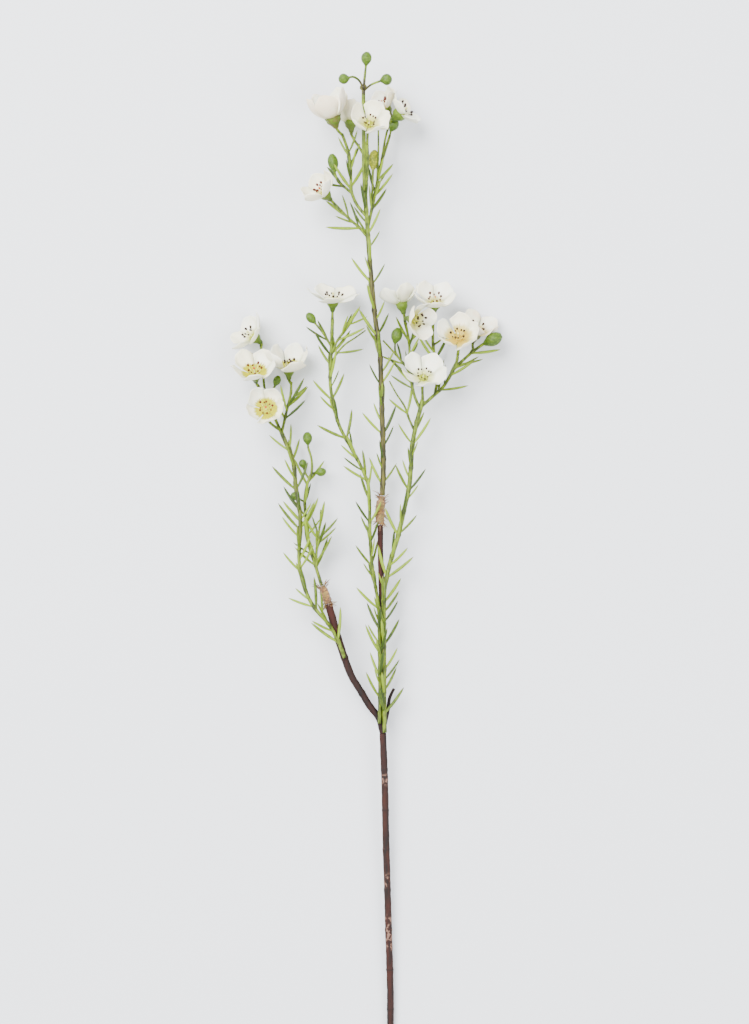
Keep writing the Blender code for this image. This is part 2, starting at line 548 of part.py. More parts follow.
def build_spray(name, lines, materials):
    twigs = SPRAYS[name] + BUD_STALKS.get(name, [])
    twigs += [stalk_twig(bloom) for bloom in BLOOMS if bloom.spray == name]
    twigs += [neck_twig(bud) for bud in BUDS if bud.spray == name]
    bodies = [make_object(f"{name}_{i}", *twig_skin(one, TWIG_SIDES)) for i, one in enumerate(twigs)]
    bodies += [make_object("leaf", *leaf_skin(line)) for line in lines]
    bodies += [make_object("bud", *bud_skin(bud)) for bud in BUDS if bud.spray == name]
    bodies += [make_object("calyx", *calyx_skin(bloom)) for bloom in BLOOMS if bloom.spray == name]
    bodies[0].name = name
    finish(union(name, bodies[0], bodies[1:]), materials["green"])


def build_bloom(bloom, materials):
    to_spray = bloom_matrix(bloom)

    def body(name, verts, faces):
        return make_object(name, [to_spray @ v for v in verts], faces)

    axis = Vector((0, 0, 1))
    disc = [ring(axis * h, axis, r, 10, 0.1) for h, r in ((0.0, DISC_RADIUS * 0.9), (DISC_HEIGHT, DISC_RADIUS))]
    petals = [body(bloom.name + "_petals", *skin(disc))]
    petals += [body("petal", *petal_skin(bloom, 2 * math.pi * k / PETALS)) for k in range(PETALS)]
    finish(union(bloom.name + "_petals", petals[0], petals[1:]), materials["petal"])

    base = DISC_HEIGHT + GAP
    dome = [ring(axis * (base + h), axis, THROAT_RADIUS * r, 7, 0.2) for h, r in ((0, 1), (THROAT_HEIGHT, 0.7))]
    centre = [body(bloom.name + "_centre", *skin(dome))]
    pistil = [ring(axis * (base + h), axis, r, 3, 0.5) for h, r in ((0.6, 0.5), (5.0, 0.8))]
    centre.append(body("pistil", *skin(pistil, axis * (base + 6.0))))
    centre += [body("stamen", *stamen_skin(bloom, 2 * math.pi * (k + 0.4) / STAMENS)) for k in range(STAMENS)]
    finish(union(bloom.name + "_centre", centre[0], centre[1:], "MANIFOLD"), materials["throat"])


def main():
    for item in list(bpy.data.objects):
        bpy.data.objects.remove(item)
    materials = {name: make_material(name) for name in COLOURS}
    build_main_stem(materials)
    for name in COLLARS:
        build_collar(name, materials)
    for name, lines in grow_leaves().items():
        build_spray(name, lines, materials)
    for bloom in BLOOMS:
        build_bloom(bloom, materials)


main()
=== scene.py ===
"""The looks of a waxflower stem: bark, tape, green sprays, buds and cup-shaped blooms.

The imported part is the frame. A piece here takes the place of one of its nodes, and a spray's needles,
buds and cups go with its twigs. The tables are in millimetres from a point on the stem, and MIDDLE
moves them to the part's own origin.
"""
import math
import random
from collections import namedtuple

import bpy
import numpy as np
from mathutils import Matrix, Vector, noise


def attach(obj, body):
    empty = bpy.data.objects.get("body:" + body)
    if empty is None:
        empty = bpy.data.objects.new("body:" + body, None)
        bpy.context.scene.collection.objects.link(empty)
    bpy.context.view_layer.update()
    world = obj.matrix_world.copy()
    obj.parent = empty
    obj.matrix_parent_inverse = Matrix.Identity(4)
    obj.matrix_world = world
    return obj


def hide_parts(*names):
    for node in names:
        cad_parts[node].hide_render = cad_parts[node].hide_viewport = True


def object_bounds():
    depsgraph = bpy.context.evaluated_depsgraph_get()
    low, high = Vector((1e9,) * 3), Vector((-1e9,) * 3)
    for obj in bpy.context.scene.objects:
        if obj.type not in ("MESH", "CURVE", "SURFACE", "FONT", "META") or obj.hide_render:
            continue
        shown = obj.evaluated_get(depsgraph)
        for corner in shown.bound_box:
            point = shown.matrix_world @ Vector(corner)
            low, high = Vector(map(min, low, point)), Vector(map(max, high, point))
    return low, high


bl_info = {
    "name": "Waxflower Stem",
    "version": (1, 0, 0),
    "blender": (4, 5, 0),
    "location": "3D View > Sidebar > Waxflower",
    "description": "Dresses a packed waxflower stem with bark, needles, buds and blooms",
    "category": "Add Mesh",
}

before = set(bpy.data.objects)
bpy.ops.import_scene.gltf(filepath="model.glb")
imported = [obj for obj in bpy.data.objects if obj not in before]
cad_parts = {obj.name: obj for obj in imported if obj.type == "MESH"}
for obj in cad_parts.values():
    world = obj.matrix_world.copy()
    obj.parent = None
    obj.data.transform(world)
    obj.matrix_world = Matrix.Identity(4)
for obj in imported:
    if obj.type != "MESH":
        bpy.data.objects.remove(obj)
CAD_BOX = [list(corner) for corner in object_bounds()]
FLOOR_HEIGHT = CAD_BOX[0][2]

MM = 0.001
MIDDLE = Vector((2.2, 5.0, 0.2))
UP = Vector((0, 0, 1))
RISE_LIMIT = 0.8

LEAF_LENGTH = 20.0
LEAF_RADIUS = 0.8
LEAF_ANGLE = 40.0
LEAF_BEND = 0.16
LEAF_SEED = 7
# The least gap between a needle and another piece, and how a needle turns aside to keep it
LEAF_GAP = 0.6
TURN_ASIDE = (0, 25, -25, 50, -50, 75, -75)
SMALL_LEAF_TURN = 137
# How far a needle's angle and turn, in degrees, and its place on the twig are drawn to either side
ANGLE_DRAW, TURN_DRAW, PLACE_DRAW = 8, 16, 1.5
LENGTH_DRAW = (0.8, 1.15)
COLLAR_REACH = 3.6

PETALS = 5
PETAL_FOOT = 2.6
PETAL_SHARE = 0.66
DISC_HEIGHT = 0.9
CALYX_DROP = 0.3
CALYX_HEIGHT = 6.5
STAMEN_LENGTH = 6.4

# The photograph's frame, its scale, and the point of the tables under its middle
PHOTO_PIXELS = (749, 1024)
PIXELS_PER_MM = 1.5
PHOTO_MIDDLE = (7.33, 35.33)
LENS, SENSOR = 100.0, 36.0
KEY_SPOT, FILL_SPOT, FILL_SHARE = (-1.3, 1.2, 2.6), (1.6, -0.6, 2.2), 0.25

# A twig's points, its radius at both ends, and where its leaf pairs sit along it
Twig = namedtuple("Twig", "points start end first last pitch turn")
# A bloom's rim is the middle of its calyx mouth; mouth and curl say how its petals open
Bloom = namedtuple("Bloom", "name spray rim facing petal mouth curl roll calyx")
Bud = namedtuple("Bud", "spray foot tip radius")
# How yellow, peach and blushed a bloom is, how warm its anthers are, how far its throat glows, and
# by how many degrees the petals on its upper side lean out
Look = namedtuple("Look", "yellow peach blush warm reach open", defaults=(0.0,))
Needle = namedtuple("Needle", "root aim way length")


def twig(points, start, end, first=0.0, last=-1.0, pitch=15.0, turn=0.0):
    return Twig(points, start, end, first, last, pitch, turn)


MAIN_STEM = [
    twig([(18, -330, 2.5), (17.9, -283, 4.4), (16.9, -249, 5.9), (15.9, -214, 7.4), (14.9, -179, 8.9),
          (14.2, -145, 10.3), (12.9, -113, 11.7)], 2.35, 2.35),
    twig([(13.1, -118, 11.5), (12.2, -100, 12.0), (12.4, -70, 12.8), (12.6, -44, 13.6), (11.8, -10, 15.0),
          (11.3, 10, 15.8), (11.2, 26.6, 16.6)], 2.1, 1.85),
    twig([(12.9, -113, 11.7), (10.4, -103, 11.9), (4.3, -94.7, 12.3), (-2.3, -84, 12.8), (-7.7, -75, 13.3),
          (-13, -61.3, 14.0), (-17.7, -46.7, 14.7), (-23.4, -26.4, 15.5)], 2.2, 2.6),
    twig([(13.2, -110, 11.4), (16.2, -98, 10.4), (17.6, -89, 9.8), (20.4, -83, 9.2)], 1.6, 0.9),
]
COLLARS = {
    "upper_collar": [(11.2, 27.0, 16.7), (11.2, 36.5, 17.2), (12.4, 46.0, 17.7)],
    "left_collar": [(-23.6, -26.0, 15.5), (-25.6, -20.2, 15.8), (-27.9, -14.2, 16.0)],
}
COLLAR_RADIUS = {"upper_collar": 3.1, "left_collar": 3.0}
# The tape's radius at its ends, as a share of its full one
TAPE_EDGE = 0.66

SPRAYS = {
    "top_spray": [
        twig([(12.45, 46.4, 17.8), (13.3, 64.7, 18.6), (13, 82, 19.5), (12.3, 102.7, 20.6),
              (11.7, 122.7, 21.7), (10.7, 143.3, 22.8), (8.1, 162, 23.8), (6.1, 181.3, 24.7),
              (4.7, 197, 25.5), (3.3, 213, 26.2), (2.6, 225, 26.8), (1.9, 234.7, 27.3), (1, 248.7, 27.9),
              (0.3, 266, 28.6), (0.2, 285, 29.2), (0.1, 301, 29.8), (0, 318, 30.2)],
             1.9, 1.3, 8, 205, 16.5, 0),
        twig([(0.9, 248, 28.2), (2.2, 257, 31.4), (2.6, 268, 34.2), (2.4, 278, 36.8)], 1.2, 1.2),
        twig([(2.6, 218, 26.5), (-2.5, 224, 26.6), (-7.9, 228.7, 27.0), (-14.5, 235, 27.6)],
             1.0, 0.9, 9, 18, 9, 10),
        twig([(1.6, 232, 27.1), (-5, 240.7, 25.5), (-7.9, 248.3, 24.6), (-8.5, 258, 23.8),
              (-8.6, 266, 23.6), (-10.4, 276, 24.0), (-14.0, 286, 25.5)], 1.1, 1.0, 22, 44, 11, 30),
        twig([(-7.6, 247, 24.7), (-12.5, 251.5, 23.0), (-17.0, 255.5, 21.6), (-19.0, 261, 20.4)],
             0.9, 0.8, 8, 10, 9, 0),
        twig([(2.6, 222, 26.6), (4.3, 231, 25.2), (6.3, 240, 23.6), (9, 254, 21.4), (11.0, 264.7, 19.6),
              (14.6, 277, 17.6), (17.6, 287, 16.2)], 1.1, 0.9, 16, 44, 9.5, 60),
        twig([(9.0, 254, 21.4), (9.4, 262, 24.0), (9.9, 276, 26.0), (9.9, 289, 26.4)], 0.8, 0.6),
        twig([(0.4, 272, 28.8), (-3.6, 279, 25.0), (-6.6, 284, 20.6), (-8.2, 287.5, 17.2)], 0.9, 0.9),
        twig([(11.4, 266, 19.4), (13.0, 276, 14.6), (15.2, 288, 11.4), (17.8, 297, 10.6)], 0.8, 0.8),
    ],
    "right_spray": [
        twig([(14.2, -112, 15.4), (13.9, -99, 15.7), (13.8, -70, 16.3), (13.7, -44, 17.1),
              (13.6, -30, 17.6), (13.8, -18, 18.0), (15.4, -8.7, 18.3), (17.4, 0, 18.6), (20, 9.3, 18.9),
              (23, 18.7, 19.2), (25.6, 30, 19.6), (28.3, 42, 20.0), (30.6, 53.3, 20.4), (31.6, 64.7, 20.7),
              (32.8, 82, 21.2), (34.8, 92, 21.5), (37.5, 102.7, 21.8), (39.4, 110, 21.9)],
             1.5, 1.6, 12, 208, 15.2, 0),
        twig([(38.4, 105.5, 21.8), (45, 111.3, 21.0), (53.5, 119.3, 20.2), (61, 131.3, 19.4),
              (66.4, 136.6, 18.6), (73, 142.4, 19.0), (80.0, 147.4, 19.6)], 1.2, 1.0, 16, 52, 11.5, 0),
        twig([(59.5, 128.8, 19.5), (61.7, 134, 20.4), (62.8, 140, 21.8)], 1.0, 1.0),
        twig([(70.5, 140.2, 18.4), (73.4, 144.6, 12.4)], 0.9, 0.9),
        twig([(38.0, 103.5, 21.8), (34.6, 111, 21.0), (32.6, 118, 20.0), (29.6, 130, 18.6),
              (23.7, 138, 17.0), (18.5, 144, 16.0), (13.0, 150, 15.2)], 1.1, 0.6, 14, 34, 10, 0),
        twig([(28.6, 131.5, 18.4), (30.6, 142, 16.4), (30.0, 152, 15.4), (28.0, 160.5, 15.6)],
             0.9, 0.9, 8, 20, 10, 80),
        twig([(30.4, 148, 15.8), (29.4, 155, 19.0), (28.2, 160.5, 23.2)], 0.8, 0.8),
        twig([(47.5, 113.6, 20.8), (49.2, 124, 17.2), (48.0, 136, 15.2), (46.4, 148.7, 14.9),
              (46.2, 156, 16.4)], 1.0, 1.0, 24, 30, 10, 0),
        twig([(46.6, 147, 14.9), (50.5, 149.5, 14.0), (54.6, 152.8, 13.4)], 0.8, 0.6),
        twig([(34.2, 89, 21.4), (30.5, 97, 20.8), (27.6, 105.3, 20.4), (22.0, 114.0, 20.0),
              (17.2, 122.7, 19.6)], 0.9, 0.5, 12, 16, 10, 0),
    ],
    "centre_spray": [
        twig([(10.7, -106, 16.0), (10.8, -96, 15.9), (10.7, -70, 16.3), (10.5, -44, 17.1),
              (10.1, -30, 17.6), (8.6, -18, 18.2), (6.9, -8.7, 18.6), (5.6, 0, 18.9), (4.7, 12, 19.4),
              (4.2, 26.7, 19.9), (4.0, 40, 20.4), (2.9, 54, 21.0), (-1.6, 65.5, 21.4), (-8.7, 78.7, 21.9),
              (-16.3, 93.3, 22.4), (-20, 107.3, 22.8), (-22, 119, 23.0), (-22, 132.7, 23.2),
              (-21.3, 146, 23.2), (-20.9, 156, 22.8), (-20.7, 163.5, 22.2)], 1.15, 1.2, 18, 262, 14.6, 20),
        twig([(-21.8, 146, 23.2), (-26.3, 153.6, 22.6), (-29.7, 158, 22.2), (-32.0, 160.8, 22.0)],
             0.8, 0.7, 5, 6, 5, 0),
        twig([(-21.2, 141, 23.2), (-17.2, 149.5, 24.2), (-11.7, 157.3, 24.6), (-7.7, 162.7, 24.6),
              (-4.5, 168.5, 24.4)], 0.9, 0.5, 10, 24, 7.5, 0),
        twig([(-22, 133.5, 23.2), (-17.6, 141, 22.0), (-12.6, 146.7, 20.8), (-5.5, 151.5, 20.0),
              (1.4, 156.5, 19.4)], 0.8, 0.5, 9, 12, 8, 0),
    ],
    "left_spray": [
        twig([(-12.6, -62, 17.95), (-16.6, -51.5, 18.9), (-23.0, -40, 19.4), (-33.4, -27.6, 18.8),
              (-40.4, -12, 18.2), (-43, 3.3, 18.2), (-42.8, 14.7, 18.6), (-42.4, 34, 19.0),
              (-43.9, 44, 19.2), (-45.3, 54, 19.2), (-46.2, 64, 19.0), (-48.2, 73.3, 18.6),
              (-51.7, 81.3, 18.2), (-55.4, 90, 17.8)], 1.2, 1.5, 12, 150, 13.6, 0),
        twig([(-54.6, 88.5, 17.9), (-52.4, 98, 16.6), (-50.4, 107, 15.0), (-48.6, 115, 13.4),
              (-48.4, 121.5, 12.6)], 1.0, 0.9, 10, 26, 9, 0),
        twig([(-55.0, 89.5, 17.8), (-59.6, 92.6, 18.6), (-62.8, 95.2, 19.6)], 1.0, 0.9),
        twig([(-54.6, 87.5, 17.9), (-58.4, 96, 12.6), (-63.5, 106, 9.8), (-67.8, 114, 10.6),
              (-70.4, 119.6, 12.6)], 1.1, 1.0),
        twig([(-66.0, 110.8, 10.0), (-62.0, 115.4, 10.6), (-59.6, 119.4, 11.4)], 0.8, 0.7),
        twig([(-63.0, 105.5, 9.9), (-66.4, 118, 6.6), (-67.6, 130, 5.8), (-67.8, 140, 7.6),
              (-68.8, 146.4, 10.4)], 0.9, 0.9),
    ],
    "left_bud_spray": [
        twig([(-28.0, -13.8, 16.1), (-31.2, -3.3, 16.0), (-35.3, 9.0, 14.8), (-38.0, 18.7, 13.8),
              (-38.9, 34, 13.2), (-39.3, 44, 13.0), (-37.7, 54, 13.0), (-34.9, 61, 13.2), (-34.7, 70, 13.8),
              (-37.0, 78.5, 14.6)], 1.2, 0.8, 14, 76, 14, 0),
        twig([(-31.6, -2.5, 16.0), (-31.4, 8, 17.4), (-30.2, 18, 18.2), (-29.0, 28, 18.6),
              (-28.6, 37, 18.8)], 1.0, 0.5, 6, 30, 7.5, 0),
        twig([(-34.9, 61, 13.2), (-32.6, 61.5, 13.6)], 0.7, 0.7),
        twig([(-36.4, 57.5, 13.1), (-39.0, 61.5, 12.6), (-40.0, 64.5, 12.4)], 0.7, 0.7),
        twig([(-39.2, 42, 13.0), (-41.8, 43.4, 12.4), (-43.0, 44.2, 12.2)], 0.7, 0.7),
    ],
}

BUDS = [
    Bud("top_spray", (1.7, 331.6, 31.6), (2.4, 340.0, 32.0), 3.4),
    Bud("top_spray", (-9.6, 322.6, 33.2), (-16.2, 321.4, 34.0), 3.4),
    Bud("top_spray", (11.6, 321.0, 32.6), (18.6, 322.4, 33.8), 3.7),
    Bud("top_spray", (-19.2, 262.4, 20.2), (-21.3, 273.8, 19.6), 3.4),
    Bud("top_spray", (18.2, 290.0, 16.0), (22.2, 297.4, 15.8), 3.0),
    Bud("top_spray", (6.4, 263.6, 23.6), (7.4, 276.0, 21.2), 3.6),
    Bud("right_spray", (80.8, 147.6, 19.8), (91.8, 153.2, 20.6), 4.3),
    Bud("right_spray", (21.0, 148.6, 15.2), (23.4, 158.2, 14.6), 3.7),
    Bud("centre_spray", (-32.4, 161.4, 22.0), (-37.4, 167.6, 21.8), 2.9),
    Bud("left_spray", (-59.4, 120.0, 11.5), (-56.8, 126.4, 12.0), 2.5),
    Bud("left_bud_spray", (-37.1, 80.6, 14.8), (-37.6, 88.6, 15.4), 3.1),
    Bud("left_bud_spray", (-31.9, 61.7, 13.7), (-25.2, 62.6, 14.2), 2.8),
    Bud("left_bud_spray", (-40.2, 65.0, 12.4), (-41.2, 70.4, 12.0), 2.7),
    Bud("left_bud_spray", (-43.5, 44.6, 12.0), (-48.4, 47.2, 11.0), 3.0),
]
BUD_STALKS = {
    "top_spray": [
        twig([(0.0, 315, 30.2), (1.0, 325, 30.9), (1.8, 332.6, 31.6)], 1.0, 0.8),
        twig([(0.0, 316, 30.2), (-3.2, 321.6, 31.6), (-7.2, 323.6, 32.8), (-10.6, 322.5, 33.3)], 0.8, 0.8),
        twig([(0.0, 314.5, 30.2), (4.6, 318.2, 31.2), (12.6, 321.2, 32.7)], 0.8, 0.8),
        twig([(5.6, 238, 24.0), (5.9, 250, 24.6), (6.4, 264.4, 23.6)], 0.8, 0.8),
    ],
    "right_spray": [
        twig([(23.0, 138.8, 16.8), (21.2, 143.0, 15.8), (21.1, 149.4, 15.2)], 0.7, 0.7),
    ],
}

BLOOMS = [
    Bloom("bloom_t1", "top_spray", (-20.0, 296.0, 31.0), (-0.32, 0.93, 0.20), 22.0, 30, 84, 10, 5.0),
    Bloom("bloom_t2", "top_spray", (-8.6, 295.4, 14.4), (-0.08, 0.95, -0.16), 16.5, 24, 70, 30, 3.8),
    Bloom("bloom_t3", "top_spray", (3.6, 290.2, 43.6), (0.10, 0.50, 0.86), 16.4, 42, 80, 18, 4.0),
    Bloom("bloom_t4", "top_spray", (15.0, 305.4, 12.4), (-0.46, 0.70, 0.30), 13.8, 34, 70, 52, 3.6),
    Bloom("bloom_t5", "top_spray", (24.2, 300.6, 21.0), (0.76, 0.62, 0.20), 13.6, 52, 50, 0, 4.6),
    Bloom("bloom_t6", "top_spray", (-25.6, 246.2, 31.0), (-0.62, 0.60, 0.50), 15.4, 36, 80, 36, 3.8),
    Bloom("bloom_c1", "centre_spray", (-20.4, 175.2, 23.0), (0.04, 0.93, 0.30), 18.0, 60, 44, 12, 3.8),
    Bloom("bloom_r1", "right_spray", (25.6, 174.0, 15.2), (-0.20, 0.95, -0.12), 16.0, 44, 62, 40, 3.7),
    Bloom("bloom_r2", "right_spray", (47.4, 173.8, 22.0), (0.06, 0.78, 0.60), 16.4, 49, 62, 22, 3.8),
    Bloom("bloom_r3", "right_spray", (33.2, 162.8, 35.0), (0.78, -0.16, 0.60), 14.8, 40, 72, 8, 3.6),
    Bloom("bloom_r4", "right_spray", (63.0, 150.0, 30.0), (-0.06, 0.58, 0.81), 17.2, 44, 76, 30, 3.8),
    Bloom("bloom_r5", "right_spray", (75.0, 155.0, 9.8), (0.22, 0.76, 0.42), 17.0, 46, 66, 10, 4.2),
    Bloom("bloom_r6", "right_spray", (39.6, 123.8, 29.0), (0.05, 0.64, 0.76), 17.6, 50, 62, 26, 4.0),
    Bloom("bloom_l1", "left_spray", (-73.4, 152.4, 11.2), (-0.66, 0.52, 0.22), 16.0, 46, 62, 24, 3.8),
    Bloom("bloom_l2", "left_spray", (-72.4, 126.8, 19.4), (-0.08, 0.72, 0.66), 18.0, 48, 66, 14, 4.0),
    Bloom("bloom_l3", "left_spray", (-50.0, 130.4, 11.4), (0.0, 0.92, 0.24), 20.0, 27, 78, 34, 3.6),
    Bloom("bloom_l4", "left_spray", (-64.4, 103.0, 27.4), (-0.06, 0.30, 0.94), 16.2, 42, 78, 6, 3.7),
]
LOOKS = {
    "bloom_t1": Look(0.10, 0.00, 0.90, 0.0, 0.30),
    "bloom_t2": Look(0.15, 0.05, 0.35, 0.1, 0.30),
    "bloom_t3": Look(0.35, 0.10, 0.10, 0.4, 0.34, -10.0),
    "bloom_t4": Look(0.45, 0.75, 0.70, 0.9, 0.45, 8.0),
    "bloom_t5": Look(0.05, 0.00, 0.10, 0.1, 0.25, 12.0),
    "bloom_t6": Look(0.25, 0.30, 0.25, 0.8, 0.32, 8.0),
    "bloom_c1": Look(0.25, 0.00, 0.05, 0.0, 0.30, 10.0),
    "bloom_r1": Look(0.10, 0.00, 0.10, 0.0, 0.28),
    "bloom_r2": Look(0.15, 0.30, 0.25, 0.6, 0.30),
    "bloom_r3": Look(0.50, 0.15, 0.35, 0.2, 0.42, 14.0),
    "bloom_r4": Look(0.40, 1.00, 0.15, 0.1, 0.52),
    "bloom_r5": Look(0.25, 0.80, 0.80, 0.4, 0.46),
    "bloom_r6": Look(0.20, 0.05, 0.10, 0.2, 0.34),
    "bloom_l1": Look(0.25, 0.00, 0.05, 0.1, 0.34, 30.0),
    "bloom_l2": Look(1.00, 0.00, 0.15, 0.8, 0.44),
    "bloom_l3": Look(1.00, 0.10, 0.30, 0.0, 0.46, 34.0),
    "bloom_l4": Look(1.00, 0.00, 0.20, 0.9, 0.42),
}
# Pale worn places on the woody stem, from and to in the part's own metres along it
WORN = ((-0.221, -0.213), (-0.263, -0.241), (-0.152, -0.146))
# The tables' height along the leading stem where its olive brown starts to clear and is gone
BROWN_FROM, BROWN_TO = 175.0, 245.0
CROWN = Vector((0.0, 317.0, 30.2))
# The bud that has gone yellow-green, by its place in BUDS
SPENT_BUD = 5
# Where the bark turns redder below the taped joints, from and to in the part's metres
RED_FROM_TO = (-0.085, -0.025)
# Leaf scars on the woody stem: how far apart, how far up each stretch, and how wide
SCAR_PITCH, SCAR_SHIFT, SCAR_PLACE, SCAR_WIDTH = 27, 9, 13, 0.9

# Turned shapes as (height, radius) in millimetres, a bud's as shares of its length and radius
BUD_PROFILE = ((-0.10, 0.0), (-0.06, 0.24), (0.08, 0.52), (0.26, 0.86), (0.52, 1.02), (0.78, 0.88),
               (0.94, 0.56), (1.02, 0.30), (0.96, 0.14), (0.93, 0.0))
KNOB_PROFILE = ((-2.4, 0.0), (-2.0, 1.3), (-0.6, 2.3), (0.7, 2.2), (1.7, 1.5), (2.1, 0.0))
DISC_PROFILE = ((-0.1, 0.0), (0.0, 3.2), (0.7, 3.45), (1.25, 2.9), (1.75, 2.5), (2.1, 1.7), (1.9, 0.8),
                (1.9, 0.0))
PISTIL_PROFILE = ((1.7, 0.0), (1.7, 0.62), (2.6, 0.42), (4.9, 0.38), (5.5, 0.62), (6.0, 0.74), (6.5, 0.42),
                  (6.55, 0.0))
# Slender shapes as (share of the length, share of the width)
NEEDLE_PROFILE = ((0, 0.85), (0.12, 0.72), (0.3, 1.0), (0.7, 0.9), (0.9, 0.6), (1.0, 0.08))
STAMEN_PROFILE = ((0, 0.3), (0.4, 0.2), (0.68, 0.17), (0.74, 0.6), (0.84, 1.0), (0.95, 0.85), (1.0, 0.2))
FIBRE_PROFILE = ((0, 1.0), (0.6, 0.8), (1.0, 0.15))
PETAL_GRID = (14, 16)
# How far red, green and blue light spread inside leaves, buds, petals and throats
LEAF_GLOW, BUD_GLOW = (0.6, 1.0, 0.2), (0.8, 1.0, 0.2)
PETAL_GLOW, THROAT_GLOW = (0.8, 0.7, 0.5), (1.0, 0.9, 0.3)
# Veins to a petal's length
VEIN_SCALE = 2.2

# Each finish colour, as it is written on a screen, and what it is for
COLOURS = {
    # bark_dark also serves as the painted shade on the bark past the fork
    "bark_dark": ("0B0301", "Cracks and shaded streaks"),
    "bark_light": ("32130A", "Raised streaks"),
    "bark_red": ("4E1806", "Redder bark just below the taped joints"),
    "bark_worn": ("76584A", "Rubbed places"),
    "tape_dark": ("4A220C", "Between the turns"),
    "tape_light": ("96702E", "Raised fibres"),
    "tape_green": ("5E561E", "Stains on the tape"),
    "twig_dark": ("2C3A04", "Shaded streaks of a green stem"),
    "twig_light": ("6F840E", "Raised streaks of a green stem"),
    "olive_dark": ("22200A", "Shaded streaks of an older stem"),
    "olive_light": ("565218", "Raised streaks of an older stem"),
    "needle_dark": ("2F4204", "The darkest needles"),
    "needle_light": ("7A9212", "The palest needles"),
    "needle_tip": ("6A602A", "Dry needle tips"),
    "bud_dark": ("2F4604", "Creases of a bud"),
    "bud_light": ("526E06", "Pebbles of a bud"),
    "bud_spent": ("A2A414", "A bud that has gone over"),
    "cup": ("5C760A", "The cup under a bloom"),
    "petal_cool": ("F0F1E4", "The cooler petals"),
    "petal_warm": ("F6F1D6", "The warmer petals"),
    "petal_shade": ("BFC49E", "Soft shade along the petals' sides and feet"),
    "petal_vein": ("D2C8AE", "Veins in a petal"),
    "petal_blush": ("E6C4A8", "Pink on the petals' backs"),
    "throat_green": ("A9B42C", "Petal feet"),
    "throat_peach": ("BE8626", "Petal feet of the peach blooms"),
    "throat_yellow": ("ACA800", "Petal feet of the yellow blooms"),
    "disc_dark": ("6C7C08", "Hollows of the middle disc"),
    "disc_light": ("A8B42C", "Raised parts of the middle disc"),
    "filament": ("DCD790", "The stalks of the stamens"),
    "stigma": ("B03C04", "The pistil's end in a ripe bloom"),
    "anther_dark": ("220C05", "Dark anthers"),
    "anther_red": ("541204", "Rust-red anthers"),
    "floor_cool": ("DCDFE3", "The floor's cooler clouds"),
    "floor_warm": ("DEE0E4", "The floor's warmer clouds"),
    "sky": ("F4F6FA", "Light from all round"),
}


def place(point):
    """A table's millimetres as a point of the part, in metres."""
    return (Vector(point) - MIDDLE) * MM


def vectors(points):
    return [Vector(point) for point in points]


def paint(code):
    """A colour as shaders take it, from the way it is written on a screen."""
    parts = [int(code[k:k + 2], 16) / 255 for k in (0, 2, 4)]
    return tuple(c / 12.92 if c <= 0.04045 else ((c + 0.055) / 1.055) ** 2.4 for c in parts) + (1.0,)


def ease(value, low, high):
    """0 below low and 1 above high, with a smooth way between."""
    share = min(1.0, max(0.0, (value - low) / (high - low)))
    return share * share * (3 - 2 * share)


def upright(way):
    """The axis that a line's rings are turned by, so that they don't twist along it."""
    return UP if abs(way.normalized().z) < RISE_LIMIT else Vector((0.3, 1, 0))


def across(tangent, up=None):
    """Two directions square to a tangent: one in the plane of the surface, one away from it."""
    side = (up or upright(tangent)).cross(tangent).normalized()
    return side, tangent.cross(side).normalized()


def around(side, over, angle):
    """The direction at an angle between two that are square to each other."""
    return side * math.cos(angle) + over * math.sin(angle)


def seat(origin, way, roll=0.0):
    """The frame of something that stands at a point and grows the given way, its +Z."""
    way = Vector(way).normalized()
    side, up = across(way)
    turn = Matrix((side, up, way)).transposed().to_4x4()
    return Matrix.Translation(Vector(origin)) @ turn @ Matrix.Rotation(math.radians(roll), 4, "Z")


def bloom_seat(bloom):
    return seat(bloom.rim, bloom.facing, bloom.roll)


def smooth_line(points, step):
    """A smooth line through points, as (point, distance, share of the way) about a step apart."""
    points = vectors(points)
    runs = [b - a for a, b in zip(points, points[1:])]
    ways = [run.normalized() for run in runs]
    slopes = [ways[0]]
    for k in range(len(runs) - 1):
        slopes.append(ways[k].lerp(ways[k + 1], runs[k].length / (runs[k].length + runs[k + 1].length)))
    slopes.append(ways[-1])
    line, done = [(points[0], 0.0, 0.0)], 0.0
    for k, run in enumerate(runs):
        length = run.length
        count = max(1, round(length / step))
        for n in range(1, count + 1):
            s = n / count
            point = points[k] * (1 + 2 * s) * (1 - s) ** 2 + points[k + 1] * s * s * (3 - 2 * s)
            point += (slopes[k] * (1 - s) - slopes[k + 1] * s) * length * s * (1 - s)
            line.append((point, done + length * s, (k + s) / len(runs)))
        done += length
    return line


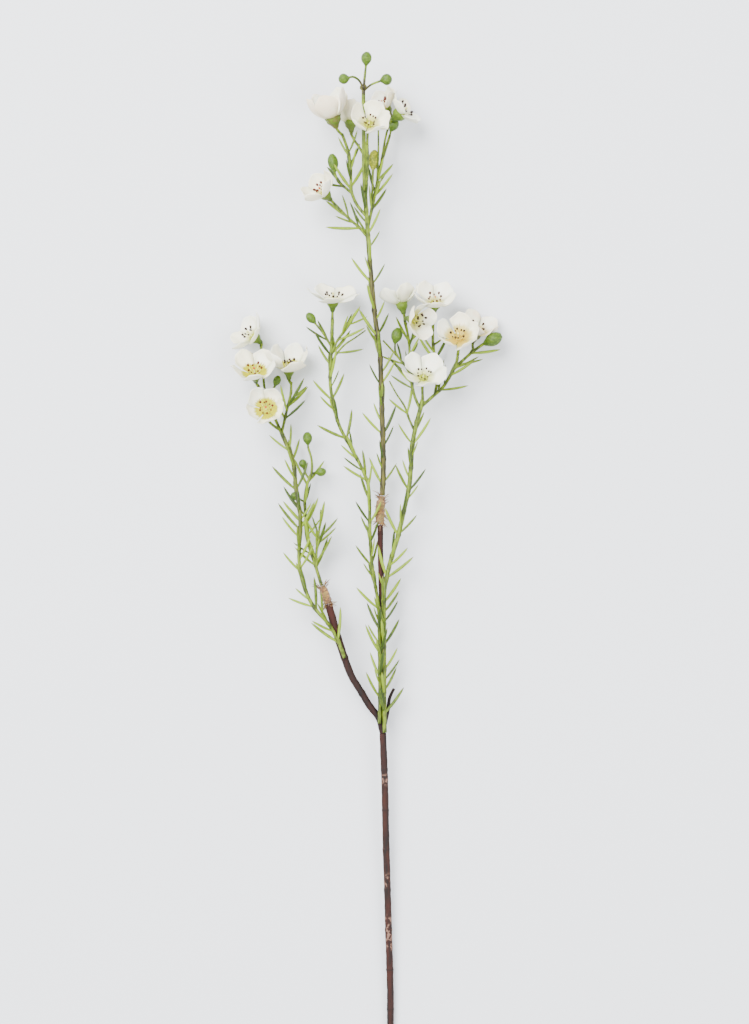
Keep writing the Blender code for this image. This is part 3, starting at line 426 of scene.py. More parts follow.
class Skin:
    """The points and faces of one piece, with the numbers that its finish reads at each point."""

    def __init__(self, *marks):
        self.verts, self.faces = [], []
        self.marks = {name: [] for name in marks}

    def add(self, verts, faces, **marks):
        start = len(self.verts)
        self.verts += verts
        self.faces += [tuple(start + k for k in face) for face in faces]
        for name, values in self.marks.items():
            given = marks.get(name, 0.0)
            values += given if isinstance(given, list) else [given] * len(verts)

    def tube(self, points, radius, sides, step, dent=None, **marks):
        """A closed round tube. radius(distance, share) is its half width, dent(point) its unevenness,
        and a mark may be worked out from a point and its distance."""
        line = smooth_line(points, step)
        up = upright(line[-1][0] - line[0][0])
        verts, distances = [], []
        for i, (point, distance, share) in enumerate(line):
            tangent = (line[min(i + 1, len(line) - 1)][0] - line[max(i - 1, 0)][0]).normalized()
            side, over = across(tangent, up)
            half = radius(distance, share)
            for k in range(sides):
                angle = 2 * math.pi * k / sides
                edge = point + around(side, over, angle) * half
                if dent:
                    edge += (edge - point) * dent(edge)
                verts.append(edge)
                distances.append(distance)
        verts += [line[0][0], line[-1][0]]
        distances += [0.0, line[-1][1]]
        self.add(verts, shell(len(line), sides), **worked_out(marks, verts, distances))

    def lathe(self, to_piece, profile, sides, step, shape=None, **marks):
        """A closed turned body. shape(angle, share) gives its swell and lift at each point."""
        line = smooth_line([(radius, 0, height) for height, radius in profile], step)
        verts, shares = [], []
        for point, _, share in line[1:-1]:
            for k in range(sides):
                angle = 2 * math.pi * k / sides
                swell, lift = shape(angle, share) if shape else (1.0, 0.0)
                reach = max(point.x, 0.02) * swell
                verts.append(Vector((reach * math.cos(angle), reach * math.sin(angle), point.z + lift)))
                shares.append(share)
        verts += [line[0][0], line[-1][0]]
        shares += [0.0, 1.0]
        self.add([to_piece @ v for v in verts], shell(len(line) - 2, sides), **worked_out(marks, shares))

    def take(self, mesh, **marks):
        """Adds a finished mesh with its own marks, and gives it the others."""
        own = {}
        for name in self.marks:
            if name in mesh.attributes:
                own[name] = [item.value for item in mesh.attributes[name].data]
        verts = [v.co / MM + MIDDLE for v in mesh.vertices]
        self.add(verts, [tuple(face.vertices) for face in mesh.polygons], **{**marks, **own})
        bpy.data.meshes.remove(mesh)

    def piece(self, name, finish, nodes=()):
        mesh = bpy.data.meshes.new(name)
        mesh.from_pydata([place(v) for v in self.verts], [], self.faces)
        for mark, values in self.marks.items():
            mesh.attributes.new(mark, "FLOAT", "POINT").data.foreach_set("value", values)
        mesh.shade_smooth()
        mesh.materials.append(finish)
        return dress(name, mesh, nodes)


def worked_out(marks, *places):
    """Marks with every function among them turned into its values at the places."""
    given = {}
    for name, value in marks.items():
        given[name] = [value(*at) for at in zip(*places)] if callable(value) else value
    return given


def shell(rows, sides):
    """Faces over rows of rings, closed at both ends on two last points."""
    faces = []
    foot, head = rows * sides, rows * sides + 1
    for k in range(sides):
        n = (k + 1) % sides
        faces.append((foot, n, k))
        for row in range(rows - 1):
            low, high = row * sides, (row + 1) * sides
            faces.append((low + k, low + n, high + n, high + k))
        last = (rows - 1) * sides
        faces.append((last + k, last + n, head))
    return faces


def add_object(name, data):
    item = bpy.data.objects.new(name, data)
    bpy.context.scene.collection.objects.link(item)
    return item


def dress(name, mesh, nodes=()):
    """Makes a mesh a piece of the part, in the place of the nodes that it stands for."""
    item = add_object(name, mesh)
    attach(item, "root")
    if nodes:
        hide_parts(*nodes)
    return item


class Amount:
    """A node's output. Arithmetic on it adds Math nodes to its tree."""

    def __init__(self, tree, socket):
        self.tree, self.socket = tree, socket

    def __add__(self, other):
        return self.tree.math("ADD", self, other)

    def __sub__(self, other):
        return self.tree.math("SUBTRACT", self, other)

    def __rsub__(self, other):
        return self.tree.math("SUBTRACT", other, self)

    def __mul__(self, other):
        return self.tree.math("MULTIPLY", self, other)

    __radd__ = __add__
    __rmul__ = __mul__


class Tree:
    """A node tree under construction, with one method for every kind of node."""

    def __init__(self, tree):
        self.tree = tree

    def node(self, kind, settings=None, inputs=None, output=0):
        made = self.tree.nodes.new(kind)
        for name, value in (settings or {}).items():
            if name == "curve":
                set_curve(made, value)
            else:
                setattr(made, name, value)
        for name, value in (inputs or {}).items():
            if isinstance(value, Amount):
                self.tree.links.new(value.socket, made.inputs[name])
            else:
                made.inputs[name].default_value = value
        return Amount(self, made.outputs[output])

    def math(self, operation, *values):
        return self.node("ShaderNodeMath", {"operation": operation}, dict(enumerate(values)))


def set_curve(node, stops):
    """Sets a Float Curve's points, as pairs of place and value."""
    points = node.mapping.curves[0].points
    while len(points) < len(stops):
        points.new(0.5, 0.5)
    for point, stop in zip(points, stops):
        point.location = stop
    node.mapping.update()


class Finish(Tree):
    """A material under construction. Sizes are in millimetres, and patterns sit on the piece."""

    def __init__(self, name):
        self.material = bpy.data.materials.new(name)
        self.material.use_nodes = True
        super().__init__(self.material.node_tree)
        self.tree.nodes.clear()
        self.spot = self.node("ShaderNodeTexCoord", output="Object")

    def mark(self, name):
        return self.node("ShaderNodeAttribute", {"attribute_name": name}, output="Fac")

    def along_stem(self):
        return self.node("ShaderNodeSeparateXYZ", inputs={0: self.spot}, output="Y")

    def stretched(self, scale):
        return self.node("ShaderNodeMapping", inputs={"Vector": self.spot, "Scale": scale})

    def noise(self, size, detail, at=None, warp=0.0):
        inputs = {"Vector": at or self.spot, "Scale": 1 / (size * MM), "Detail": detail, "Distortion": warp}
        return self.node("ShaderNodeTexNoise", inputs=inputs)

    def grains(self, size):
        inputs = {"Vector": self.spot, "Scale": 1 / (size * MM)}
        return self.node("ShaderNodeTexVoronoi", {"feature": "SMOOTH_F1"}, inputs)

    def ramp(self, amount, low, high):
        inputs = {"Value": amount, "From Min": low, "From Max": high}
        return self.node("ShaderNodeMapRange", {"interpolation_type": "SMOOTHSTEP"}, inputs)

    def blend(self, share, first, second):
        inputs = {"Factor": share, 6: first, 7: second}
        return self.node("ShaderNodeMix", {"data_type": "RGBA"}, inputs, 2)

    def bump(self, height, depth, strength):
        inputs = {"Height": height, "Distance": depth * MM, "Strength": strength}
        return self.node("ShaderNodeBump", inputs=inputs)

    def done(self, colour, roughness, normal, shine=0.5, glow=(), **settings):
        """Closes the material. glow says how far light spreads inside it: weight, radius, millimetres."""
        inputs = {"Base Color": colour, "Roughness": roughness, "Normal": normal, "Specular IOR Level": shine}
        if glow:
            weight, radius, scale = glow
            inputs.update({"Subsurface Weight": weight, "Subsurface Radius": radius})
            inputs["Subsurface Scale"] = scale * MM
        inputs.update({name.replace("_", " "): value for name, value in settings.items()})
        shader = self.node("ShaderNodeBsdfPrincipled", inputs=inputs)
        output = self.tree.nodes.new("ShaderNodeOutputMaterial")
        self.tree.links.new(shader.socket, output.inputs["Surface"])
        return self.material


def finish_bark(colours):
    """Reddish-brown bark: streaks along the stem, fine cracks, pale worn places, and painted shade on the
    bark past the fork.
    """
    bark = Finish("waxflower_bark")
    streaks = bark.noise(2.4, 6.0, bark.stretched((1, 0.11, 1)), 0.4)
    flecks = bark.noise(0.7, 4.0)
    tone = streaks * 0.65 + flecks * 0.35
    colour = bark.blend(bark.ramp(tone, 0.36, 0.64), colours.bark_dark, colours.bark_light)
    colour = bark.blend(bark.ramp(bark.mark("node"), 0.2, 1.0) * 0.6, colour, colours.bark_dark)
    along = bark.along_stem()
    red = bark.ramp(along, *RED_FROM_TO) * bark.ramp(streaks, 0.3, 0.6) * 0.7
    colour = bark.blend(red, colour, colours.bark_red)
    # Painted shade: the trunk above the fork, the left branch and the stub are darkened towards bark_dark
    colour = bark.blend(bark.mark("dark") * 0.45, colour, colours.bark_dark)
    worn = bark.ramp(bark.noise(5.5, 3.0), 0.66, 0.78) * 0.35
    patches = bark.ramp(bark.noise(2.6, 5.0, warp=0.6), 0.47, 0.60)
    for low, high in WORN:
        inside = bark.ramp(along, low - 3 * MM, low + 2 * MM) * bark.ramp(along, high + 3 * MM, high - 2 * MM)
        worn = worn + inside * patches
    colour = bark.blend(bark.ramp(worn, 0.0, 1.1), colour, colours.bark_worn)
    ridges = bark.noise(1.3, 5.0, bark.stretched((1, 0.2, 1)), 0.3)
    return bark.done(colour, 0.62 + tone * 0.25, bark.bump(ridges * 0.7 + flecks * 0.3, 0.35, 0.7), 0.3)


def finish_tape(colours):
    """Fibrous pinkish-tan tape, wound in narrow turns."""
    tape = Finish("waxflower_tape")
    band = tape.math("SINE", tape.mark("turns") * (2 * math.pi)) * 0.5 + 0.5
    fibres = tape.noise(0.8, 6.0, tape.stretched((0.25, 1, 1)), 0.8)
    stain = tape.noise(4.5, 3.0)
    worn = fibres * 0.7 + stain * 0.25 + band * 0.05
    colour = tape.blend(tape.ramp(worn, 0.40, 0.60), colours.tape_dark, colours.tape_light)
    colour = tape.blend(tape.ramp(stain, 0.48, 0.66) * 0.6, colour, colours.tape_green)
    return tape.done(colour, 0.78 + fibres * 0.15, tape.bump(fibres * 0.9 + band * 0.1, 0.5, 0.9),
                     Sheen_Weight=0.25, Sheen_Roughness=0.6)


def finish_twig(colours):
    """A moulded green stem, olive brown where it is older, with long pale streaks."""
    stem = Finish("waxflower_twig")
    streaks = stem.noise(1.5, 5.0, stem.stretched((1, 0.12, 1)), 0.3)
    mottle = stem.noise(3.2, 4.0)
    tone = stem.ramp(streaks * 0.6 + mottle * 0.4, 0.38, 0.64)
    fresh = stem.blend(tone, colours.twig_dark, colours.twig_light)
    olive = stem.blend(stem.ramp(streaks, 0.4, 0.66), colours.olive_dark, colours.olive_light)
    age = stem.ramp(stem.mark("age") + (mottle - 0.5) * 0.5, 0.12, 0.92)
    colour = stem.blend(age, fresh, olive)
    colour = stem.blend(stem.mark("node") * 0.35, colour, colours.olive_dark)
    worn = stem.ramp(stem.noise(3.0, 3.0, stem.stretched((1, 0.4, 1))), 0.64, 0.74) * 0.4
    colour = stem.blend(worn, colour, colours.needle_light)
    return stem.done(colour, 0.46 + mottle * 0.2, stem.bump(streaks, 0.22, 0.6), 0.3, (0.12, LEAF_GLOW, 0.8))


def finish_needle(colours):
    """Slender green needles, each its own shade, with pale feet and dry tips."""
    leaf = Finish("waxflower_needle")
    along, tint = leaf.mark("along"), leaf.mark("tint")
    mottle = leaf.noise(2.4, 4.0)
    shade = leaf.ramp(tint * 0.65 + mottle * 0.5, 0.28, 0.82)
    colour = leaf.blend(shade, colours.needle_dark, colours.needle_light)
    colour = leaf.blend(leaf.ramp(along, 0.86, 1.0) * 0.65, colour, colours.needle_tip)
    colour = leaf.blend(leaf.ramp(along, 0.14, 0.0) * 0.5, colour, colours.twig_light)
    return leaf.done(colour, 0.42 + mottle * 0.2, leaf.bump(leaf.noise(0.9, 3.0), 0.12, 0.5), 0.3,
                     (0.12, LEAF_GLOW, 0.6))


def finish_bud(colours):
    """Pebbled green buds with darker creases; a spent one is yellow."""
    bud = Finish("waxflower_bud")
    pebbles = bud.grains(1.25)
    mottle = bud.noise(2.0, 4.0)
    raised = bud.blend(bud.mark("spent"), colours.bud_light, colours.bud_spent)
    colour = bud.blend(bud.ramp(pebbles + mottle * 0.5, 0.25, 1.0) * 0.8, raised, colours.bud_dark)
    colour = bud.blend(bud.ramp(bud.mark("out"), 0.86, 1.0) * 0.5, colour, colours.needle_light)
    return bud.done(colour, 0.40 + mottle * 0.25, bud.bump(1.0 - pebbles, 0.5, 0.55), 0.35,
                    (0.07, BUD_GLOW, 1.0))


def finish_cup(colours):
    """The green cup under a bloom: darker at its foot and blushed brown in patches."""
    cup = Finish("waxflower_cup")
    mottle, pebbles = cup.noise(2.2, 4.0), cup.grains(1.0)
    colour = cup.blend(cup.ramp(cup.mark("out") + mottle * 0.4, 0.25, 0.75), colours.bud_dark, colours.cup)
    blushed = cup.mark("blush") * cup.ramp(cup.noise(3.6, 2.0), 0.42, 0.62)
    colour = cup.blend(blushed, colour, colours.olive_light)
    return cup.done(colour, 0.42 + mottle * 0.2, cup.bump(mottle * 0.5 + pebbles * 0.5, 0.35, 0.6), 0.35,
                    (0.07, BUD_GLOW, 1.0))


def finish_petal(colours):
    """Waxy cream petals: fine veins, painted shade along their sides and over their backs, a throat that
    glows green, yellow or peach, and blushed backs.
    """
    petal = Finish("waxflower_petal")
    out, side, face, tone, reach = (petal.mark(name) for name in ("out", "side", "face", "tone", "reach"))
    flat = petal.node("ShaderNodeCombineXYZ", inputs={0: side * 5.0, 1: out * 1.1, 2: tone * 9.0})
    inputs = {"Vector": flat, "Scale": VEIN_SCALE, "Detail": 5.0, "Distortion": 0.4}
    veins = petal.node("ShaderNodeTexNoise", inputs=inputs)
    cloud = petal.noise(5.0, 3.0)
    deep = petal.ramp(out + (veins - 0.5) * 0.4, reach * 1.15, reach * 0.25)
    warm = petal.ramp(tone * 0.5 + cloud * 0.6, 0.3, 0.8)
    colour = petal.blend(warm, colours.petal_cool, colours.petal_warm)
    colour = petal.blend(petal.ramp(veins, 0.55, 0.72) * 0.14, colour, colours.petal_vein)
    # Painted shade: petal_shade laid along the sides of each petal's lower part, and a little over its back
    sides = petal.ramp(petal.math("ABSOLUTE", side), 0.45, 0.92) * petal.ramp(out, 1.0, 0.55)
    colour = petal.blend(sides * 0.6 + face * 0.2, colour, colours.petal_shade)
    blushed = petal.mark("blush") * petal.ramp(cloud + face * 0.2, 0.42, 0.68)
    colour = petal.blend(blushed * 0.45, colour, colours.petal_blush)
    colour = petal.blend(deep * 0.55, colour, colours.throat_green)
    inside = deep * (1.0 - face * 0.55)
    colour = petal.blend(petal.mark("peach") * inside * 0.85, colour, colours.throat_peach)
    colour = petal.blend(petal.mark("yellow") * petal.ramp(inside, 0.04, 0.4), colour, colours.throat_yellow)
    return petal.done(colour, 0.40 + cloud * 0.2, petal.bump(veins * 0.7 + cloud * 0.3, 0.25, 0.45), 0.2,
                      (0.12, PETAL_GLOW, 0.6), Coat_Weight=0.03, Coat_Roughness=0.4)


def finish_throat(colours):
    """The bloom's middle: a green disc, pale filaments, and dark or rust-red anthers."""
    throat = Finish("waxflower_throat")
    along, warm, stigma = (throat.mark(name) for name in ("along", "warm", "stigma"))
    mottle = throat.noise(1.1, 4.0)
    green = throat.blend(throat.ramp(mottle, 0.38, 0.66), colours.disc_dark, colours.disc_light)
    colour = throat.blend(throat.mark("yellow") * 0.8, green, colours.throat_yellow)
    colour = throat.blend(throat.mark("peach") * 0.6, colour, colours.throat_peach)
    colour = throat.blend(throat.ramp(along, 0.05, 0.3), colour, colours.filament)
    colour = throat.blend(stigma * throat.ramp(warm, 0.2, 0.8), colour, colours.stigma)
    rust = throat.ramp(warm + (mottle - 0.5) * 0.4, 0.25, 0.95)
    anther = throat.blend(rust, colours.anther_dark, colours.anther_red)
    colour = throat.blend(throat.ramp(along, 0.66, 0.72), colour, anther)
    return throat.done(colour, 0.36 + mottle * 0.25, throat.bump(throat.noise(0.5, 3.0), 0.14, 0.6), 0.3,
                       (0.05, THROAT_GLOW, 0.6))


def finish_floor(colours):
    floor = Finish("studio_floor")
    cloud = floor.noise(420.0, 2.0)
    return floor.done(floor.blend(cloud, colours.floor_cool, colours.floor_warm), 0.85 + cloud * 0.1,
                      floor.bump(floor.noise(6.0, 2.0), 0.02, 0.1))


def ready(name, maker):
    """A finish, made once and shared by the pieces that have it."""
    return bpy.data.materials.get(name) or maker(bpy.context.scene.waxflower_colours)


def along(one, distance):
    """The point and direction at a distance along a twig."""
    points = vectors(one.points)
    for a, b in zip(points, points[1:]):
        length = (b - a).length
        if distance <= length:
            return a.lerp(b, distance / length), (b - a).normalized()
        distance -= length
    return None


def stems_of(owner):
    """The woody stem's branches, or a spray's twigs and its buds' stalks."""
    return {"main_stem": MAIN_STEM, **SPRAYS}[owner] + BUD_STALKS.get(owner, [])


def half_width(one, share):
    return one.start + (one.end - one.start) * share


def twig_bars():
    """Every twig, bud and bloom as bars with a radius, to keep the leaves clear of them."""
    bars = []
    for owner in ("main_stem", *SPRAYS):
        for one in stems_of(owner):
            points = vectors(one.points)
            radius = max(one.start, one.end)
            bars += [(owner, a, b, radius) for a, b in zip(points, points[1:])]
    for points in COLLARS.values():
        bars.append(("collar", Vector(points[0]), Vector(points[-1]), COLLAR_REACH))
    for bud in BUDS:
        bars.append((bud.spray + "_bud", Vector(bud.foot), Vector(bud.tip), bud.radius))
    for bloom in BLOOMS:
        rim, facing = Vector(bloom.rim), Vector(bloom.facing).normalized()
        reach = bloom.petal * (0.42 + 0.50 * math.sin(math.radians(bloom.mouth)))
        bars.append(("petals", rim + facing * 3, rim + facing * bloom.petal * 0.6, reach + 1.0))
        bars.append(("petals", rim, rim + facing * 2, 5.0))
    return bars


def clearance(line, bars, owner):
    """The least distance from a leaf's line to what it must not cross."""
    probes = np.array([line[0].lerp(line[-1], s) for s in np.linspace(0.2, 1.0, 9)])
    others = [bar for bar in bars if bar[0] != owner]
    a = np.array([bar[1] for bar in others])
    b = np.array([bar[2] for bar in others])
    radius = np.array([bar[3] for bar in others])
    run = b - a
    share = np.einsum("pki,ki->pk", probes[:, None] - a, run) / np.maximum((run * run).sum(1), 1e-9)
    nearest = a + run * np.clip(share, 0, 1)[..., None]
    apart = np.linalg.norm(probes[:, None] - nearest, axis=2) - radius
    return float(apart.min()), float(probes[:, 2].min())


def needle_line(one):
    """Points on a needle's middle line, curving a little towards the way its stem grows."""
    bend = one.way * one.length * LEAF_BEND
    return [one.root + one.aim * one.length * s + bend * s * s for s in (0.0, 0.12, 0.45, 0.8, 1.0)]


def sprout(one, distance, turn, size, draw, bars, spray):
    """One needle on a twig. Where it would cross another piece it turns aside, or does not grow."""
    angle = math.radians(LEAF_ANGLE + draw.uniform(-ANGLE_DRAW, ANGLE_DRAW))
    length = LEAF_LENGTH * size * draw.uniform(*LENGTH_DRAW)
    found = along(one, distance + draw.uniform(-PLACE_DRAW, PLACE_DRAW))
    if found is None:
        return []
    root, way = found
    side, up = across(way)
    for twist in TURN_ASIDE:
        out = around(side, up, math.radians(turn + twist))
        needle = Needle(root, way * math.cos(angle) + out * math.sin(angle), way, length)
        line = needle_line(needle)
        apart, low = clearance(line, bars, spray)
        if min(apart, low) > LEAF_RADIUS + LEAF_GAP:
            bars.append((spray, line[1], line[-1], LEAF_RADIUS))
            return [needle]
    return []


def grow_leaves():
    """The part's own needles: opposite pairs, each pair square to the last."""
    draw = random.Random(LEAF_SEED)
    bars = twig_bars()
    grown = {}
    for spray, twigs in SPRAYS.items():
        grown[spray] = []
        for one in twigs:
            distance, pair = one.first, 0
            while distance <= one.last:
                for half in (0, 180):
                    turn = one.turn + half + 90 * (pair % 2) + draw.uniform(-TURN_DRAW, TURN_DRAW)
                    grown[spray] += sprout(one, distance, turn, 1.0, draw, bars, spray)
                distance += one.pitch
                pair += 1
    return grown, bars


def grow_small_leaves(grown, bars):
    """Single shorter needles between the pairs, too slight for the part itself."""
    share = bpy.context.scene.waxflower_sizes.small_needle
    draw = random.Random(LEAF_SEED)
    for spray, twigs in SPRAYS.items():
        for one in twigs:
            distance, turn = one.first + one.pitch / 2, one.turn + 45
            while distance <= one.last and share > 0:
                grown[spray] += sprout(one, distance, turn, share, draw, bars, spray)
                distance += one.pitch
                turn += SMALL_LEAF_TURN
    return grown


def calyx_foot(bloom):
    return Vector(bloom.rim) - Vector(bloom.facing).normalized() * (CALYX_DROP + CALYX_HEIGHT * 0.96)


def twig_ends(spray):
    return [Vector(one.points[-1]) for one in stems_of(spray)]


def neck_twig(bud):
    """The last of a bud's stalk, from the nearest twig end of its spray into the bud."""
    foot, tip = Vector(bud.foot), Vector(bud.tip)
    start = min(twig_ends(bud.spray), key=lambda end: (end - foot).length)
    back = (start - foot).normalized() * 0.8 if (start - foot).length > 0.5 else (foot - tip).normalized()
    return twig([start + back * 0.5, foot.lerp(tip, 0.08), foot.lerp(tip, 0.35)], 0.7, 0.8)


def stalk_twig(bloom):
    """The last of a bloom's stalk, from the nearest twig end of its spray into the calyx."""
    foot, way = calyx_foot(bloom), Vector(bloom.facing).normalized()
    start = min(twig_ends(bloom.spray), key=lambda end: (end - foot).length)
    middle = start.lerp(foot, 0.5) - way * (foot - start).length * 0.12
    return twig([start, middle, foot, foot + way * 1.2], 1.0, 1.05)


def slender_tree(name, profile, rows, sides):
    """Geometry Nodes that set one slender bent shape on each point, by its own turn and size."""
    group = bpy.data.node_groups.new(name, "GeometryNodeTree")
    group.interface.new_socket("Geometry", in_out="INPUT", socket_type="NodeSocketGeometry")
    for label, kind in (("Width", "Float"), ("Bend", "Float"), ("Seed", "Int"), ("Finish", "Material")):
        group.interface.new_socket(label, in_out="INPUT", socket_type="NodeSocket" + kind)
    group.interface.new_socket("Geometry", in_out="OUTPUT", socket_type="NodeSocketGeometry")
    tree = Tree(group)
    given = group.nodes.new("NodeGroupInput")
    want = {socket.name: Amount(tree, socket) for socket in given.outputs if socket.name}

    end = tree.node("ShaderNodeCombineXYZ", inputs={"X": want["Bend"], "Z": 1.0})
    line = tree.node("GeometryNodeCurveQuadraticBezier",
                     inputs={"Resolution": rows, "Start": (0, 0, 0), "Middle": (0, 0, 0.5), "End": end})
    share = tree.node("GeometryNodeSplineParameter", output="Factor")
    line = tree.node("GeometryNodeStoreNamedAttribute", {"data_type": "FLOAT", "domain": "POINT"},
                     {"Geometry": line, "Name": "along", "Value": share})
    thick = tree.node("ShaderNodeFloatCurve", {"curve": profile}, {"Value": share})
    edge = {"Resolution": sides, "Radius": want["Width"]}
    edge = tree.node("GeometryNodeCurvePrimitiveCircle", inputs=edge)
    shape = tree.node("GeometryNodeCurveToMesh",
                      inputs={"Curve": line, "Profile Curve": edge, "Scale": thick, "Fill Caps": True})

    turn = tree.node("GeometryNodeInputNamedAttribute", {"data_type": "FLOAT_VECTOR"}, {"Name": "turn"})
    turn = tree.node("FunctionNodeEulerToRotation", inputs={"Euler": turn})
    size = tree.node("GeometryNodeInputNamedAttribute", {"data_type": "FLOAT"}, {"Name": "size"})
    grown = tree.node("GeometryNodeInstanceOnPoints",
                      inputs={"Points": want["Geometry"], "Instance": shape, "Rotation": turn, "Scale": size})
    bounds = {2: 0.0, 3: 1.0, "Seed": want["Seed"]}
    tint = tree.node("FunctionNodeRandomValue", {"data_type": "FLOAT"}, bounds, 1)
    grown = tree.node("GeometryNodeStoreNamedAttribute", {"data_type": "FLOAT", "domain": "INSTANCE"},
                      {"Geometry": grown, "Name": "tint", "Value": tint})
    solid = tree.node("GeometryNodeRealizeInstances", inputs={"Geometry": grown})
    solid = tree.node("GeometryNodeSetMaterial", inputs={"Geometry": solid, "Material": want["Finish"]})
    group.links.new(solid.socket, group.nodes.new("NodeGroupOutput").inputs["Geometry"])
    return group


def aim_turn(way, lean):
    """The turn that sets a shape's +Z along a way and its +X towards where it leans."""
    z = way.normalized()
    x = (lean - z * lean.dot(z)).normalized()
    return Matrix((x, z.cross(x), z)).transposed().to_euler()


def grow(group, points, finish, width, bend, seed):
    """Runs a tree over points, given as (place, turn, size), and returns its plain mesh."""
    mesh = bpy.data.meshes.new("points")
    mesh.from_pydata([place(point) for point, _, _ in points], [], [])
    turns = [angle for _, turn, _ in points for angle in turn]
    sizes = [size * MM for _, _, size in points]
    mesh.attributes.new("turn", "FLOAT_VECTOR", "POINT").data.foreach_set("vector", turns)
    mesh.attributes.new("size", "FLOAT", "POINT").data.foreach_set("value", sizes)
    item = add_object("points", mesh)
    modifier = item.modifiers.new("grow", "NODES")
    modifier.node_group = group
    values = {"Width": width, "Bend": bend, "Seed": seed, "Finish": finish}
    for socket in group.interface.items_tree:
        if socket.in_out == "INPUT" and socket.name in values:
            modifier[socket.identifier] = values[socket.name]
    bpy.context.view_layer.update()
    grown = bpy.data.meshes.new_from_object(item.evaluated_get(bpy.context.evaluated_depsgraph_get()))
    bpy.data.objects.remove(item)
    bpy.data.meshes.remove(mesh)
    return grown


def unevenness(depth, size):
    """A dent for a tube's skin: soft lumps of a depth, as a share of its radius."""
    return lambda point: depth * noise.noise(point / size)


def build_stem():
    """The trunk, its left branch and its stub, with leaf scars and a plain cut."""
    skin = Skin("node", "dark")

    def scar(distance):
        off_scar = (distance + SCAR_SHIFT) % SCAR_PITCH - SCAR_PLACE
        return math.exp(-(off_scar / SCAR_WIDTH) ** 2)

    for k, one in enumerate(MAIN_STEM):
        def radius(distance, share, one=one):
            return half_width(one, share) * (1 + 0.10 * scar(distance))

        # Every stretch past the first, from the fork on, gets the painted shade
        skin.tube(one.points, radius, 20, 1.2, unevenness(0.09, 3.2),
                  node=lambda point, distance: scar(distance), dark=1.0 if k else 0.0)
    skin.piece("stem_bark", ready("waxflower_bark", finish_bark), ["main_stem"])


def build_tape(name):
    """Tape wound round a joint, with an uneven edge and frayed fibres at both ends."""
    sizes = bpy.context.scene.waxflower_sizes
    points = vectors(COLLARS[name])
    length = (points[2] - points[0]).length
    full = COLLAR_RADIUS[name]
    finish = ready("waxflower_tape", finish_tape)

    def radius(distance, share):
        turn = 0.12 * noise.noise(Vector((distance * MM / sizes.tape_turn, full, 0.7)))
        return full * (TAPE_EDGE + 0.30 * ease(min(share, 1 - share), 0.0, 0.22) + turn)

    skin = Skin("turns")
    skin.tube(points, radius, 32, 0.3, unevenness(0.26, 2.0))
    skin.marks["turns"] = [(v - points[0]).length / (sizes.tape_turn / MM) for v in skin.verts]
    draw = random.Random(len(name))
    way = (points[2] - points[0]).normalized()
    side, up = across(way)
    fibres = []
    for _ in range(sizes.tape_fibres):
        angle = draw.uniform(0, 2 * math.pi)
        out = around(side, up, angle)
        share = draw.choice((draw.uniform(-0.04, 0.2), draw.uniform(0.0, 1.0), draw.uniform(0.8, 1.04)))
        lean = way * draw.uniform(0.5, 2.0) * (1 if share > 0.5 else -1) + out * draw.uniform(0.1, 0.6)
        start = points[0] + way * length * share + out * full * TAPE_EDGE
        fibres.append((start, aim_turn(lean, out), draw.uniform(2.0, 5.5)))
    tree = slender_tree("tape_fibre", FIBRE_PROFILE, 5, 4)
    skin.take(grow(tree, fibres, finish, 0.06, 0.55, len(name)))
    skin.piece(name.replace("collar", "tape"), finish, [name])


def twig_age(spray, first):
    """How brown a twig is at a point: the leading stem's lower half and its crown, and old feet."""
    def age(point):
        crown = ease(7.0 - (point - CROWN).length, 0.0, 3.5)
        if spray == "top_spray":
            return max(crown, (1.0 if first else 0.25) * (1 - ease(point.y, BROWN_FROM, BROWN_TO)))
        if spray == "left_spray":
            return 0.5 * ease(point.y, -20, 30) * (1 - ease(point.y, 84, 96))
        foot = 0.3 if spray == "left_bud_spray" and point.y < 0 else 0.0
        return 0.30 * (1 - ease(point.y, -60, 20)) + foot

    return age


def build_twigs(spray):
    """A spray's stems, with a swelling under each leaf pair, and the stalks of its blooms and buds."""
    skin = Skin("age", "node")
    grown = stems_of(spray)
    stalks = [stalk_twig(bloom) for bloom in BLOOMS if bloom.spray == spray]
    stalks += [neck_twig(bud) for bud in BUDS if bud.spray == spray]
    for k, one in enumerate(grown + stalks):
        thin = 0.97 if one in grown else 0.92

        def node(distance, one=one):
            apart = (distance - one.first + one.pitch / 2) % one.pitch - one.pitch / 2
            grows = one.first <= distance + one.pitch / 2 <= one.last + one.pitch
            return math.exp(-(apart / 1.3) ** 2) if grows else 0.0

        def radius(distance, share, one=one, thin=thin, node=node):
            return half_width(one, share) * (thin + 0.20 * node(distance))

        age = twig_age(spray, k == 0)
        skin.tube(one.points, radius, 12, 1.5, unevenness(0.10, 2.2), age=lambda point, distance: age(point),
                  node=lambda point, distance: node(distance))
    if spray == "top_spray":
        skin.lathe(seat(CROWN, Vector((0, 1, 0.15))), KNOB_PROFILE, 16, 0.5,
                   lambda angle, share: (1 + 0.10 * math.sin(3 * angle + 5 * share), 0.0), age=1.0)
    skin.piece(spray + "_twigs", ready("waxflower_twig", finish_twig), [spray])


def build_needles():
    """Every spray's needles, set on their roots by Geometry Nodes."""
    sizes = bpy.context.scene.waxflower_sizes
    finish = ready("waxflower_needle", finish_needle)
    tree = slender_tree("needle", NEEDLE_PROFILE, 9, 6)
    width = sizes.needle_width / 2 / (LEAF_LENGTH * MM)
    grown = grow_small_leaves(*grow_leaves())
    for k, (spray, needles) in enumerate(grown.items()):
        points = [(one.root, aim_turn(one.aim, one.way), one.length) for one in needles]
        mesh = grow(tree, points, finish, width, sizes.needle_bend, LEAF_SEED + k)
        skin = Skin("along", "tint")
        skin.take(mesh)
        skin.piece(spray + "_needles", finish)


